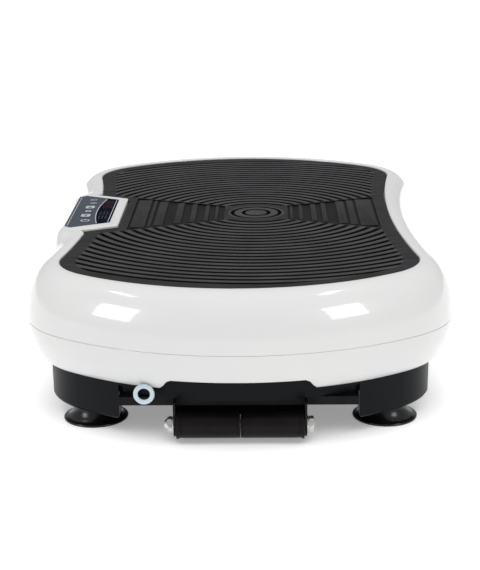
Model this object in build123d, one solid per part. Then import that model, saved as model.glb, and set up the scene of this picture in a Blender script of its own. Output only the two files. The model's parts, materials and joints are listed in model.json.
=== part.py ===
"""Oscillating vibration plate: a rocking platform on a low base with a belt-driven crank.

Frame: X is the short way (the control console is on the -X side), Y is the long way (the
transport roller is at the -Y end), Z is up. The origin is on the floor under the centre.
All sizes are millimetres.
"""
from build123d import *
import math
import os

# ---------------------------------------------------------------- driving dimensions
MAT_HALF_LENGTH = 292.0      # mat edge on the long axis
LOBE_HALF_WIDTH = 170.0      # mat edge at its widest, one lobe at each end
WAIST_HALF_WIDTH = 156.0     # mat edge at the middle
END_RADIUS = 236.0           # end arcs of the mat
CORNER_RADIUS = 66.0         # corner arcs of the mat

RIM_CENTRE = 5.0             # the rim's side is half an ellipse, centred this far outside the mat
RIM_REACH = 28.4             # and reaching this much further out at the seam
SEAM_Z = 92.0                # joint line between the upper and the lower cover
RIM_TOP_Z = 144.8            # crest of the rim
SKIRT_DEPTH = 43.5           # half axis of the ellipse below the seam
SKIRT_EDGE_Z = 54.0          # lower edge of the white skirt
COVER_WALL = 3.0             # upper cover thickness
SKIRT_WALL = 2.2             # lower cover thickness
SEAM_GAP = 0.6               # visible line between the two covers

MAT_TOP_Z = 143.0            # standing surface
MAT_THICK = 4.0
TRAY_Z = MAT_TOP_Z - MAT_THICK

BASE_OFFSET = 12.2           # base wall, measured outwards from the mat outline
BASE_WALL = 3.0
BASE_UNDER_Z = 41.0          # underside of the base between the legs
BASE_WALL_TOP_Z = 70.0
BASE_STEP = 8.0              # the lowest part of the wall is set back between the legs
LEG_UNDER_Z = 15.0
LEG_INNER_X = 110.0
LEG_INNER_Y = 212.0

FOOT_X = 137.0               # suction feet
FOOT_Y = 231.0
CUP_RADIUS = 30.5

PIVOT_Z = 84.0               # rocking axis, along X through the centre
PIVOT_R = 8.0
PIVOT_HALF_SPAN = 118.0
PIVOT_BLOCK_X = 105.0        # stands that carry the pivot shaft
BUSH_R = 12.0

CRANK_Y = 95.0               # crank axis, along X
CRANK_Z = 80.0
CRANK_THROW = 2.2
MOTOR_Y = 190.0              # motor axis, along X
MOTOR_Z = 78.0
BELT_X = 101.0               # middle plane of the belt
BELT_WIDTH = 9.0
CRANK_PULLEY_R = 27.0
MOTOR_PULLEY_R = 12.0
ROD_PIN_Z = 112.0            # top pin of each connecting rod
ROD_X = 30.0                 # the two rods stand at +-ROD_X
ROD_BIG_END_R = 24.0
ROD_BEARING_R = 19.0
CRANK_BLOCK_X = 60.0         # stands that carry the crankshaft
MAIN_BEARING_R = 17.5

ROLLER_Y = -295.0            # transport roller under the -Y end
ROLLER_Z = 16.9
ROLLER_R = 12.5
ROLLER_CENTRE_X = 1.4
ROLLER_HALF_LENGTH = 58.0
AXLE_R = 4.0                 # M8 axle bolt

CONSOLE_INNER_X = -128.0     # console bezel, a trapezoid that widens outwards
CONSOLE_OUTER_X = -190.0
CONSOLE_INNER_HALF = 61.0
CONSOLE_OUTER_HALF = 94.0
CONSOLE_TOP_Z = 145.5
PANEL_INNER_X = -138.0       # overlay sheet let into the bezel
PANEL_OUTER_X = -183.0
PANEL_THICK = 1.2

LIP_GAP = 0.8                # dark line between the mat and the rim
EAR_TIP = (-154.0, 101.0)    # the mat's small ears beside the console
EAR_APEX = (-163.5, 81.0)
EAR_BACK = (-146.0, 70.0)
WELL_LOW_Z = 118.0            # lower edge of the console's well under the bezel
BEZEL_LOW_Z = 139.0
BEZEL_OUTER_X = -184.5
BEZEL_CUT_X = -172.0         # the bezel's outer corners are cut from here
BEZEL_OUTER_HALF = 76.0
SHOULDER_HALF = 72.0         # the rim's square shoulder beside the console
SHOULDER_END = 112.0         # it has faded into the round rim here
SHOULDER_POWER = 8
SHOULDER_SINK = 0.4
PANEL_SINK = 0.3             # the sheet lies this far below the bezel's top
PANEL_INNER_HALF = 53.0
PANEL_OUTER_HALF = 74.0
PANEL_CUT = 7.0
PANEL_SHIFT_Y = 3.0
WINDOW_ARC_X = -156.5        # the display window ends in an arc
WINDOW_ARC_R = 306.0
BOARD_Z = 128.0
KEY_GAP = 0.2
BOARD_THICK = 1.6            # circuit boards
# x, y and the two sizes of each key; equal sizes make a round key
KEYS = {
    "power": (-164.5, -41.0, 13.0, 13.0),
    "speed_down": (-166.5, -18.0, 11.0, 13.0),
    "start": (-166.0, 1.0, 8.0, 8.0),
    "speed_up": (-166.0, 20.0, 11.0, 13.0),
    "mode": (-164.5, 39.0, 9.0, 9.0),
    "timer": (-166.0, 55.0, 9.0, 9.0),
}

NOTCH_LOW_HALF = 65.0        # hand notch in the skirt's lower edge at both ends
NOTCH_TOP_HALF = 54.5
NOTCH_LOW_Z = 55.0
NOTCH_TOP_Z = 65.0

PLATE_THICK = 3.0            # steel platform plate
PLATE_INSET = 14.0
RIB_X = 62.0
RIB_HALF_LENGTH = 225.0
RIB_DEPTH = 15.0
BRACKET_X = 80.0             # pivot brackets under the plate
PIN_R = 4.0
ROD_EYE_R = 9.0              # open end of the rod, clear of its pin over the whole motion

BASE_STEP_IN = 4.0
CHASSIS_THICK = 3.0
CUP_NECK_R = 20.0
STUD_R = 4.0
ROLLER_EAR_HALF = 58.25      # inner faces of the bracket's ears, from the roller's middle
ROLLER_PLATE = 2.0
ROLLER_WEB_LOW_Z = 21.0      # the web behind the roller joins the two ears
WASHER_THICK = 1.2
NUT_HEIGHT = 6.8
CROSS_BAR_HALF = 109.0       # angle bar between the legs that carries the ears
CROSS_BAR_LOW_Z = 33.0
SCREW_X = 80.0               # bracket screws
SCREW_Y = -275.0
SCREW_R = 1.8

CRANK_R = 8.5
ECCENTRIC_R = 13.0
MOTOR_R = 28.0
MOTOR_LOW_X = -20.0
MOTOR_HIGH_X = 80.0
SHAFT_R = 4.0
MOTOR_WALL = 2.5
ROTOR_R = 18.0
MAGNET_BORE_R = 20.0
CLAMP_PLACES = (5.0, 55.0)   # the two motor clamps along X

INLET_X = 22.0               # mains inlet at +22, switch at -22, on the +Y end wall
EYELET_X = -84.5             # band eyelets on the skirt, one at each end
EYELET_Z = 49.5
EYELET_R = 9.6
EYELET_HOLE_R = 5.5
EYELET_Y_LOW = 302.5         # nearest and farthest face from the middle
EYELET_Y_HIGH = 305.5
EYELET_BACK_Y = 292.0

RUN_FIT = 0.05               # radial clearance of a shaft in its bush
PRESS_FIT = 0.02             # radial clearance of a part that is held fast
TOUCH_GAP = 0.3              # clearance between curved faces that must not touch

X_AXIS_DOWN = Rot(0, 90, 0)  # turns a Z cylinder to lie along X
Y_AXIS_DOWN = Rot(90, 0, 0)  # turns a Z cylinder to lie along Y

nodes = {}


# ---------------------------------------------------------------- helpers
def x_rod(radius, x_low, x_high, y, z):
    """A round bar along X."""
    return Pos((x_low + x_high) / 2, y, z) * X_AXIS_DOWN * Cylinder(radius, x_high - x_low)


def y_rod(radius, y_low, y_high, x, z):
    """A round bar along Y."""
    return Pos(x, (y_low + y_high) / 2, z) * Y_AXIS_DOWN * Cylinder(radius, y_high - y_low)


def z_rod(radius, z_low, z_high, x, y):
    """A round bar along Z."""
    return Pos(x, y, (z_low + z_high) / 2) * Cylinder(radius, z_high - z_low)


def block(x_low, x_high, y_low, y_high, z_low, z_high):
    """A box given by its limits."""
    centre = Pos((x_low + x_high) / 2, (y_low + y_high) / 2, (z_low + z_high) / 2)
    return centre * Box(x_high - x_low, y_high - y_low, z_high - z_low)


def corner_centre():
    """Centre of the corner arc in the +X +Y quarter, and the side arc's radius."""
    x = LOBE_HALF_WIDTH - CORNER_RADIUS
    end_y = MAT_HALF_LENGTH - END_RADIUS
    y = end_y + math.sqrt((END_RADIUS - CORNER_RADIUS) ** 2 - x ** 2)
    inward = WAIST_HALF_WIDTH - x
    side = (inward ** 2 + y ** 2 - CORNER_RADIUS ** 2) / (2 * (CORNER_RADIUS - inward))
    return x, y, side


def outline_wire(offset):
    """The two-lobed outline of the object, moved outwards by offset. It starts at +Y."""
    x, y, side = corner_centre()
    end_y = MAT_HALF_LENGTH - END_RADIUS
    to_end = Vector(x, y - end_y).normalized()
    to_side = Vector(WAIST_HALF_WIDTH + side - x, -y).normalized()
    middle = (to_end + to_side).normalized()
    centre, radius = Vector(x, y), CORNER_RADIUS + offset
    end_point = centre + to_end * radius
    corner_mid = centre + middle * radius
    side_point = centre + to_side * radius
    half_angle = math.atan2(to_end.X, to_end.Y) / 2
    reach = END_RADIUS + offset
    end_mid = Vector(reach * math.sin(half_angle), end_y + reach * math.cos(half_angle))

    def at(point, sx, sy):
        return (point.X * sx, point.Y * sy)

    top, bottom = (0, MAT_HALF_LENGTH + offset), (0, -MAT_HALF_LENGTH - offset)
    waist = WAIST_HALF_WIDTH + offset
    return Wire([
        ThreePointArc(top, at(end_mid, 1, 1), at(end_point, 1, 1)),
        ThreePointArc(at(end_point, 1, 1), at(corner_mid, 1, 1), at(side_point, 1, 1)),
        ThreePointArc(at(side_point, 1, 1), (waist, 0), at(side_point, 1, -1)),
        ThreePointArc(at(side_point, 1, -1), at(corner_mid, 1, -1), at(end_point, 1, -1)),
        ThreePointArc(at(end_point, 1, -1), bottom, at(end_point, -1, -1)),
        ThreePointArc(at(end_point, -1, -1), at(corner_mid, -1, -1), at(side_point, -1, -1)),
        ThreePointArc(at(side_point, -1, -1), (-waist, 0), at(side_point, -1, 1)),
        ThreePointArc(at(side_point, -1, 1), at(corner_mid, -1, 1), at(end_point, -1, 1)),
        ThreePointArc(at(end_point, -1, 1), at(end_mid, -1, 1), top),
    ])


def slab(offset, z_low, z_high):
    """The whole outline, moved outwards by offset, as a plate."""
    face = Pos(0, 0, z_low) * Face(outline_wire(offset))
    return extrude(face, z_high - z_low, dir=(0, 0, 1))


def ring(section_edges):
    """Sweep a closed section round the outline; its X is the offset and its Y is the height."""
    face = make_face(section_edges)
    plane = Plane(origin=(0, MAT_HALF_LENGTH, 0), x_dir=(0, 1, 0), z_dir=(1, 0, 0))
    return sweep(plane * face, path=outline_wire(0))


def rim_point(angle_deg, wall):
    """A point on the rim's ellipse above the seam, set in by wall."""
    angle = math.radians(angle_deg)
    reach, rise = RIM_REACH - wall, RIM_TOP_Z - SEAM_Z - wall
    return (RIM_CENTRE + reach * math.cos(angle), SEAM_Z + rise * math.sin(angle))


def skirt_point(z, wall):
    """A point on the skirt's ellipse below the seam, set in by wall."""
    reach, drop = RIM_REACH - wall, SKIRT_DEPTH - wall
    share = (SEAM_Z - z) / drop
    return (RIM_CENTRE + reach * math.sqrt(1 - share ** 2), z)


# ---------------------------------------------------------------- covers
def mirror_y(points, sign):
    """The same outline on either side of the X axis."""
    return [(x, y * sign) for x, y in points]


def flat_prism(points, z_low, z_high):
    """A plate cut from a polygon given in plan."""
    plan = Pos(0, 0, z_low) * make_face(Polyline(points, close=True))
    return extrude(plan, z_high - z_low, dir=(0, 0, 1))


def console_half(x, grow=0.0):
    """Half length of the console's trapezoid at x, grown by grow."""
    slope = (CONSOLE_OUTER_HALF - CONSOLE_INNER_HALF) / (CONSOLE_INNER_X - CONSOLE_OUTER_X)
    return CONSOLE_INNER_HALF + slope * (CONSOLE_INNER_X - x) + grow * math.sqrt(1 + slope ** 2)


def console_block(grow, x_outer, z_low, z_high):
    """A prism on the console's trapezoid, grown by grow and cut off at x_outer."""
    inner_x = CONSOLE_INNER_X + grow
    inner, outer = console_half(inner_x, grow), console_half(x_outer, grow)
    points = [(inner_x, -inner), (inner_x, inner), (x_outer, outer), (x_outer, -outer)]
    return flat_prism(points, z_low, z_high)


def bezel_block(grow, z_low, z_high):
    """A prism on the bezel's plan: the console's trapezoid with its outer corners cut."""
    inner_x, outer_x = CONSOLE_INNER_X + grow, BEZEL_OUTER_X - grow
    half = [(inner_x, console_half(inner_x, grow)), (BEZEL_CUT_X, console_half(BEZEL_CUT_X, grow)),
            (outer_x, BEZEL_OUTER_HALF + grow)]
    return flat_prism(half + [(x, -y) for x, y in reversed(half)], z_low, z_high)


def shoulder_section(y, power, wall):
    """The console shoulder's section at y: a quarter of a superellipse, set in by wall."""
    side_radius = corner_centre()[2]
    side_x = WAIST_HALF_WIDTH + side_radius - math.sqrt(side_radius ** 2 - y ** 2)
    crest_x = -(side_x + RIM_CENTRE)
    reach = RIM_REACH - SHOULDER_SINK - wall
    rise = RIM_TOP_Z - SEAM_Z - wall
    low = SEAM_Z + SEAM_GAP / 2
    curve = [(crest_x - reach, low)]
    for degrees in range(15, 90, 15):
        angle = math.radians(degrees)
        curve.append((crest_x - reach * math.cos(angle) ** (2 / power),
                      SEAM_Z + rise * math.sin(angle) ** (2 / power)))
    curve.append((crest_x, SEAM_Z + rise))
    edges = [Spline(*curve), Line(curve[-1], (crest_x, low)), Line((crest_x, low), curve[0])]
    return Plane.XZ.offset(-y) * make_face(edges)


def shoulder(wall):
    """The rim's square shoulder beside the console, fading into the round rim at both ends."""
    places = [(-SHOULDER_END, 2), (-SHOULDER_HALF, SHOULDER_POWER), (0, SHOULDER_POWER),
              (SHOULDER_HALF, SHOULDER_POWER), (SHOULDER_END, 2)]
    return loft([shoulder_section(y, power, wall) for y, power in places], ruled=True)


def rim_section():
    """The upper cover's section, from the seam up the side and over the crest to the tray."""
    low = SEAM_Z + SEAM_GAP / 2
    steps = range(15, 90, 15)
    outside = [(RIM_CENTRE + RIM_REACH, low)] + [rim_point(a, 0) for a in steps]
    inside = [(RIM_CENTRE + RIM_REACH - COVER_WALL, low)]
    inside += [rim_point(a, COVER_WALL) for a in steps]
    crest, lip = (RIM_CENTRE, RIM_TOP_Z), (LIP_GAP, MAT_TOP_Z + 0.6)
    under = (RIM_CENTRE, RIM_TOP_Z - COVER_WALL)
    foot, heel = (LIP_GAP, TRAY_Z - COVER_WALL), (RIM_CENTRE, TRAY_Z - COVER_WALL)
    return [
        Spline(*outside, crest, tangents=[(0, 1), (-1, 0)]),
        Line(crest, lip),
        Line(lip, foot),
        Line(foot, heel),
        Line(heel, under),
        Spline(under, *reversed(inside), tangents=[(1, 0), (0, -1)]),
        Line(inside[0], outside[0]),
    ]


def skirt_section():
    """The lower cover's section, from the seam down and in to the skirt's edge."""
    high = SEAM_Z - SEAM_GAP / 2
    heights = [SKIRT_EDGE_Z + (high - SKIRT_EDGE_Z) * k / 5 for k in range(5)]
    outside = [skirt_point(z, 0) for z in heights] + [(RIM_CENTRE + RIM_REACH, high)]
    inside = [skirt_point(z, SKIRT_WALL) for z in heights]
    inside.append((RIM_CENTRE + RIM_REACH - SKIRT_WALL, high))
    return [Spline(*outside), Line(outside[-1], inside[-1]), Spline(*reversed(inside)),
            Line(inside[0], outside[0])]


def ear(sign, grow=0.0):
    """Plan of the mat's small ear, which fills the corner between console and rim."""
    tip, apex = (EAR_TIP[0] + grow, EAR_TIP[1] + grow), (EAR_APEX[0] - grow, EAR_APEX[1])
    points = [tip, apex, EAR_BACK, (EAR_BACK[0], EAR_TIP[1] + grow)]
    return mirror_y(points, sign)


def make_top_cover():
    """Upper cover: rim, tray under the mat, and the console's shoulder and well at -X."""
    cover = ring(rim_section()) + slab(LIP_GAP + 0.5, TRAY_Z - COVER_WALL, TRAY_Z)
    cover = cover + shoulder(0) - shoulder(COVER_WALL)
    for sign in (-1, 1):
        cover -= flat_prism(ear(sign, LIP_GAP), TRAY_Z, RIM_TOP_Z + 1)
        cover += flat_prism(ear(sign, LIP_GAP + 1), TRAY_Z - COVER_WALL, TRAY_Z)
    cover -= bezel_block(0.1, BEZEL_LOW_Z, CONSOLE_TOP_Z + 1)
    well = bezel_block(0, WELL_LOW_Z, BEZEL_LOW_Z)
    return cover + well - bezel_block(-COVER_WALL, WELL_LOW_Z - 1, BEZEL_LOW_Z)


def make_lower_cover():
    """Lower cover: a skirt round the base, notched at both ends above the roller and inlet."""
    skirt = ring(skirt_section())
    notch = make_face(Polyline([(-NOTCH_LOW_HALF, 0), (-NOTCH_LOW_HALF, NOTCH_LOW_Z),
                                (-NOTCH_TOP_HALF, NOTCH_TOP_Z), (NOTCH_TOP_HALF, NOTCH_TOP_Z),
                                (NOTCH_LOW_HALF, NOTCH_LOW_Z), (NOTCH_LOW_HALF, 0)], close=True))
    notch = fillet(notch.vertices().filter_by(lambda v: v.Y > 0), 3)
    skirt -= extrude(Plane.XZ * notch, 400, both=True)
    for sign in (-1, 1):
        skirt -= eyelet_tang(sign, 0.2)
    return skirt


def eyelet_tang(sign, grow):
    """The part of a band eyelet that passes through the skirt."""
    y_near, y_far = sorted((sign * EYELET_BACK_Y, sign * (EYELET_Y_LOW + 1)))
    return block(EYELET_X - 3 - grow, EYELET_X + 3 + grow, y_near - grow, y_far + grow,
                 EYELET_Z + 6.5 - grow, EYELET_Z + 9.0 + grow)


def make_eyelets():
    """Band eyelets: a flat ring outside the skirt, held by a tang with a turned-up end."""
    eyelets = []
    for sign in (-1, 1):
        y_near, y_far = sorted((sign * EYELET_Y_LOW, sign * EYELET_Y_HIGH))
        eyelet = y_rod(EYELET_R, y_near, y_far, EYELET_X, EYELET_Z)
        eyelet -= y_rod(EYELET_HOLE_R, y_near - 1, y_far + 1, EYELET_X, EYELET_Z)
        back_near, back_far = sorted((sign * EYELET_BACK_Y, sign * (EYELET_BACK_Y + 2.5)))
        eyelet += eyelet_tang(sign, 0)
        eyelet += block(EYELET_X - 3, EYELET_X + 3, back_near, back_far,
                        EYELET_Z + 6.5, EYELET_Z + 20)
        eyelets.append(eyelet)
    return eyelets


def make_mat():
    """Rubber standing mat with its console notch and two ears."""
    mat = slab(0, TRAY_Z, MAT_TOP_Z)
    for sign in (-1, 1):
        mat += flat_prism(ear(sign), TRAY_Z, MAT_TOP_Z)
    return mat - console_block(1.0, CONSOLE_OUTER_X - 20, TRAY_Z - 1, MAT_TOP_Z + 1)


# ---------------------------------------------------------------- console
def panel_plan(inset=0.0):
    """Corner points of the console's sheet, set in by inset; the outer corners are cut."""
    inner_x, outer_x = PANEL_INNER_X - inset, PANEL_OUTER_X + inset
    inner, wide, cut = PANEL_INNER_HALF - inset, PANEL_OUTER_HALF - inset, PANEL_CUT
    half = [(inner_x, inner), (outer_x + cut, wide), (outer_x, wide - cut)]
    points = half + [(x, -y) for x, y in reversed(half)]
    return [(x, y + PANEL_SHIFT_Y) for x, y in points]


def window_split(gap):
    """A prism that covers the display's side of the console, bounded by an arc."""
    centre_x = WINDOW_ARC_X + WINDOW_ARC_R
    disc = Pos(centre_x, PANEL_SHIFT_Y, CONSOLE_TOP_Z) * Cylinder(WINDOW_ARC_R - gap, 20)
    return disc & block(-200, -120, -100, 100, CONSOLE_TOP_Z - 9, CONSOLE_TOP_Z + 9)


def key_shape(kind, grow, z_low, z_high):
    """A key's cap or its hole: a disc or a rounded rectangle."""
    x, y, long_x, long_y = KEYS[kind]
    if long_x == long_y:
        return z_rod(long_x / 2 + grow, z_low, z_high, x, y)
    plan = RectangleRounded(long_x + 2 * grow, long_y + 2 * grow, 2 + grow)
    return extrude(Pos(x, y, z_low) * plan, z_high - z_low)


def make_console():
    """Bezel, display window, key sheet, keys and the two circuit boards under them."""
    panel_top = CONSOLE_TOP_Z - PANEL_SINK
    panel_low = panel_top - PANEL_THICK
    bezel = bezel_block(0, BEZEL_LOW_Z, CONSOLE_TOP_Z)
    bezel = fillet(bezel.edges().filter_by(Axis.Z).group_by(Axis.X)[-1], 6)
    bezel -= flat_prism(panel_plan(-0.2), panel_low, CONSOLE_TOP_Z + 1)
    bezel -= flat_prism(panel_plan(4), 0, CONSOLE_TOP_Z)
    nodes["console_bezel"] = bezel
    sheet = flat_prism(panel_plan(), panel_low, panel_top)
    nodes["display_window"] = sheet & window_split(0.05)
    keypad = sheet - window_split(-0.05)
    for kind in KEYS:
        keypad -= key_shape(kind, KEY_GAP, 0, CONSOLE_TOP_Z + 1)
        cap = key_shape(kind, 0, panel_low, panel_top + 0.2)
        x, y = KEYS[kind][:2]
        nodes["key_" + kind] = cap + z_rod(1.5, BOARD_Z + 4, panel_low, x, y)
    nodes["key_sheet"] = keypad
    nodes["console_board"] = console_board()
    x_mid = (PANEL_INNER_X + WINDOW_ARC_X) / 2
    nodes["display_module"] = block(x_mid - 5, x_mid + 5, -38, 42, BOARD_Z + BOARD_THICK, panel_low - 1)


def console_board():
    """Circuit board under the keys, with one tact switch below each key."""
    top = BOARD_Z + BOARD_THICK
    board = flat_prism(panel_plan(4), BOARD_Z, top)
    for kind in KEYS:
        x, y = KEYS[kind][:2]
        board += block(x - 3, x + 3, y - 3, y + 3, top, top + 1.4)
    for sign in (-1, 1):
        board += z_rod(1.6, top, BEZEL_LOW_Z, PANEL_INNER_X - 2.2, sign * 45 + PANEL_SHIFT_Y)
    return board


# ---------------------------------------------------------------- platform frame
def make_platform_frame():
    """Steel plate under the tray with two ribs, pivot brackets, shaft, clevises and pins."""
    low = TRAY_Z - COVER_WALL - PLATE_THICK
    plate = slab(-PLATE_INSET, low, low + PLATE_THICK)
    plate -= console_block(6, CONSOLE_OUTER_X - 20, low - 1, low + PLATE_THICK + 1)
    for x in (-RIB_X, RIB_X):
        plate += block(x - 2, x + 2, -RIB_HALF_LENGTH, RIB_HALF_LENGTH, low - RIB_DEPTH, low)
    nodes["platform_plate"] = plate
    brackets, clevises, pins = [], [], []
    for sign in (-1, 1):
        x = sign * BRACKET_X
        web = block(x - 4, x + 4, -16, 16, PIVOT_Z, low) + x_rod(16, x - 4, x + 4, 0, PIVOT_Z)
        flange = block(x - 14, x + 14, -24, 24, low - 4, low)
        bore = x_rod(PIVOT_R + PRESS_FIT, x - 20, x + 20, 0, PIVOT_Z)
        brackets.append(web + flange - bore)
        x = sign * ROD_X
        ears = block(x - 12, x + 12, CRANK_Y - 10, CRANK_Y + 10, low - 3, low)
        for side in (-1, 1):
            ear_x = x + side * 10.5
            ears += block(ear_x - 1.5, ear_x + 1.5, CRANK_Y - 9, CRANK_Y + 9, ROD_PIN_Z, low)
            ears += x_rod(9, ear_x - 1.5, ear_x + 1.5, CRANK_Y, ROD_PIN_Z)
        clevises.append(ears - x_rod(PIN_R + PRESS_FIT, x - 20, x + 20, CRANK_Y, ROD_PIN_Z))
        pin = x_rod(PIN_R, x - 15, x + 15, CRANK_Y, ROD_PIN_Z)
        pins.append(pin + x_rod(PIN_R + 2.5, x - 17, x - 14, CRANK_Y, ROD_PIN_Z))
    nodes["pivot_brackets"] = brackets
    nodes["rod_clevises"] = clevises
    nodes["clevis_pins"] = pins
    nodes["pivot_shaft"] = x_rod(PIVOT_R, -PIVOT_HALF_SPAN, PIVOT_HALF_SPAN, 0, PIVOT_Z)


# ---------------------------------------------------------------- base
def base_section():
    """Base wall with its lower step, and the rim of the floor."""
    low, step = BASE_UNDER_Z, BASE_UNDER_Z + BASE_STEP
    outer, wall = BASE_OFFSET, BASE_WALL
    inset = outer - BASE_STEP_IN
    return Polyline([(inset, low), (inset, step), (outer, step), (outer, BASE_WALL_TOP_Z),
                     (outer - wall, BASE_WALL_TOP_Z), (outer - wall, step + wall),
                     (inset - wall, step + wall), (inset - wall, low + wall),
                     (0, low + wall), (0, low)], close=True)


def leg_box(inset, z_low, z_high):
    """The space of one leg, in the +X +Y quarter, with a sloped inner side."""
    x_low, y_low = LEG_INNER_X + inset, LEG_INNER_Y + inset
    side = make_face(Polyline([(y_low, z_low), (y_low - 4, z_high), (330, z_high),
                               (330, z_low)], close=True))
    return extrude(Plane.YZ.offset(x_low) * side, 100, dir=(1, 0, 0))


def make_base():
    """Base housing with a floor, a wall and four hollow corner legs."""
    housing = ring([base_section()]) + slab(0.5, BASE_UNDER_Z, BASE_UNDER_Z + BASE_WALL)
    top = BASE_UNDER_Z + BASE_STEP + 1
    shell = slab(BASE_OFFSET, LEG_UNDER_Z, top) & leg_box(0, LEG_UNDER_Z, top)
    rounded = shell.faces().sort_by(Axis.Z)[0].edges()
    shell = fillet(rounded, 4)
    pocket = slab(BASE_OFFSET - BASE_WALL, LEG_UNDER_Z + BASE_WALL, top)
    pocket &= leg_box(BASE_WALL, LEG_UNDER_Z + BASE_WALL, top)
    hole = z_rod(STUD_R + 0.3, 0, 40, FOOT_X, FOOT_Y)
    for turn in quarter_mirrors():
        housing += turn(shell)
    for turn in quarter_mirrors():
        housing -= turn(pocket)
        housing -= turn(hole)
    housing -= block(-INLET_X - 10.7, -INLET_X + 10.7, 280, 320, 47.3, 61.7)
    housing -= block(INLET_X - 13.7, INLET_X + 13.7, 280, 320, 44.3, 64.7)
    for x in (-SCREW_X, SCREW_X):
        housing -= z_rod(SCREW_R + 0.05, 30, 60, x, SCREW_Y)
    return housing


def quarter_mirrors():
    """The four ways of placing a +X +Y piece in the corners."""
    return [lambda s: s,
            lambda s: mirror(s, Plane.YZ),
            lambda s: mirror(s, Plane.XZ),
            lambda s: mirror(mirror(s, Plane.YZ), Plane.XZ)]


def make_feet():
    """Suction feet on steel studs, with a nut inside each leg."""
    profile = [Polyline([(0, LEG_UNDER_Z), (CUP_NECK_R, LEG_UNDER_Z)]),
               Spline((CUP_NECK_R, LEG_UNDER_Z), (23.5, 7.5), (CUP_RADIUS, 1.6)),
               Polyline([(CUP_RADIUS, 1.6), (CUP_RADIUS, 0), (CUP_RADIUS - 2.5, 0), (20, 3),
                         (0, 3.6), (0, LEG_UNDER_Z)])]
    cup = revolve(Plane.XZ * make_face(profile), Axis.Z)
    cup -= z_rod(STUD_R + PRESS_FIT, 6.98, LEG_UNDER_Z + 1, 0, 0)
    feet, studs = [], []
    for sx, sy in ((1, 1), (-1, 1), (1, -1), (-1, -1)):
        place = Pos(sx * FOOT_X, sy * FOOT_Y, 0)
        feet.append(place * cup)
        stud = z_rod(STUD_R, 7, 32, 0, 0)
        nut = extrude(Pos(0, 0, LEG_UNDER_Z + BASE_WALL) * RegularPolygon(7.5, 6), 6.5)
        studs.append(place * (stud + nut))
    nodes["suction_feet"] = feet
    nodes["foot_studs"] = studs


def make_roller():
    """Transport roller: a bar with two ears and a web, two halves on an M8 bolt, nut, washers."""
    top, middle = BASE_UNDER_Z, ROLLER_CENTRE_X
    left, right = middle - ROLLER_EAR_HALF, middle + ROLLER_EAR_HALF
    left_out, right_out = left - ROLLER_PLATE, right + ROLLER_PLATE
    y_low, y_high = ROLLER_Y - 11, ROLLER_Y + 16
    bar_y = ROLLER_Y + 6
    bracket = block(-CROSS_BAR_HALF, CROSS_BAR_HALF, bar_y, bar_y + 27, top - 3, top)
    bracket += block(-CROSS_BAR_HALF, CROSS_BAR_HALF, bar_y, bar_y + 3, CROSS_BAR_LOW_Z, top)
    bracket += block(left_out, right_out, y_high - ROLLER_PLATE, y_high, ROLLER_WEB_LOW_Z, top)
    for x_low, x_high in ((left_out, left), (right, right_out)):
        bracket += block(x_low, x_high, y_low, y_high, ROLLER_Z, top)
        bracket += x_rod(11, x_low, x_high, ROLLER_Y, ROLLER_Z)
    bracket -= x_rod(AXLE_R + PRESS_FIT, left_out - 1, right_out + 1, ROLLER_Y, ROLLER_Z)
    for x in (-SCREW_X, SCREW_X):
        bracket -= z_rod(SCREW_R + 0.05, 0, 60, x, SCREW_Y)
    nodes["roller_bracket"] = bracket
    axle = x_rod(AXLE_R, left_out - 8.5, right_out + WASHER_THICK, ROLLER_Y, ROLLER_Z)
    head = extrude(Plane.YZ.offset(right_out + WASHER_THICK) * RegularPolygon(7.5, 6), 5.3)
    nodes["roller_axle"] = axle + Pos(0, ROLLER_Y, ROLLER_Z) * head
    nut_start = left_out - WASHER_THICK - NUT_HEIGHT
    nut = extrude(Plane.YZ.offset(nut_start) * RegularPolygon(7.5, 6), NUT_HEIGHT)
    bore = x_rod(AXLE_R + PRESS_FIT, left_out - 20, right_out + 20, ROLLER_Y, ROLLER_Z)
    nodes["roller_nut"] = Pos(0, ROLLER_Y, ROLLER_Z) * nut - bore
    nodes["roller_washers"] = [
        x_rod(8, right_out, right_out + WASHER_THICK, ROLLER_Y, ROLLER_Z) - bore,
        x_rod(8, left_out - WASHER_THICK, left_out, ROLLER_Y, ROLLER_Z) - bore,
    ]
    bore = x_rod(AXLE_R + RUN_FIT, left_out - 20, right_out + 20, ROLLER_Y, ROLLER_Z)
    for name, x_low, x_high, rim_x in (
            ("roller_left", middle - ROLLER_HALF_LENGTH, middle - 0.25, middle - ROLLER_HALF_LENGTH),
            ("roller_right", middle + 0.25, middle + ROLLER_HALF_LENGTH,
             middle + ROLLER_HALF_LENGTH - 2.5)):
        sleeve = x_rod(ROLLER_R, x_low, x_high, ROLLER_Y, ROLLER_Z)
        flange = x_rod(ROLLER_R + 0.8, rim_x, rim_x + 2.5, ROLLER_Y, ROLLER_Z)
        nodes[name] = sleeve + flange - bore
    screws = [screw(x, SCREW_Y, top - 3 - 2.2, 2.2, 10) for x in (-SCREW_X, SCREW_X)]
    nodes["roller_bracket_screws"] = screws


def screw(x, y, z_head, head_height, length):
    """A cap screw that points up from its head."""
    head = z_rod(3.6, z_head, z_head + head_height, x, y)
    return head + z_rod(SCREW_R, z_head + head_height, z_head + head_height + length, x, y)


# ---------------------------------------------------------------- drive
def pulley(radius, y, z, shaft_r):
    """A flanged flat-belt pulley in the belt's plane."""
    half = BELT_WIDTH / 2 + 0.5
    wheel = x_rod(radius, BELT_X - half, BELT_X + half, y, z)
    for side in (-1, 1):
        edge = BELT_X + side * (half + 0.5)
        wheel += x_rod(radius + 3, edge - 0.5, edge + 0.5, y, z)
    return wheel - x_rod(shaft_r + PRESS_FIT, BELT_X - 20, BELT_X + 20, y, z)


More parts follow.
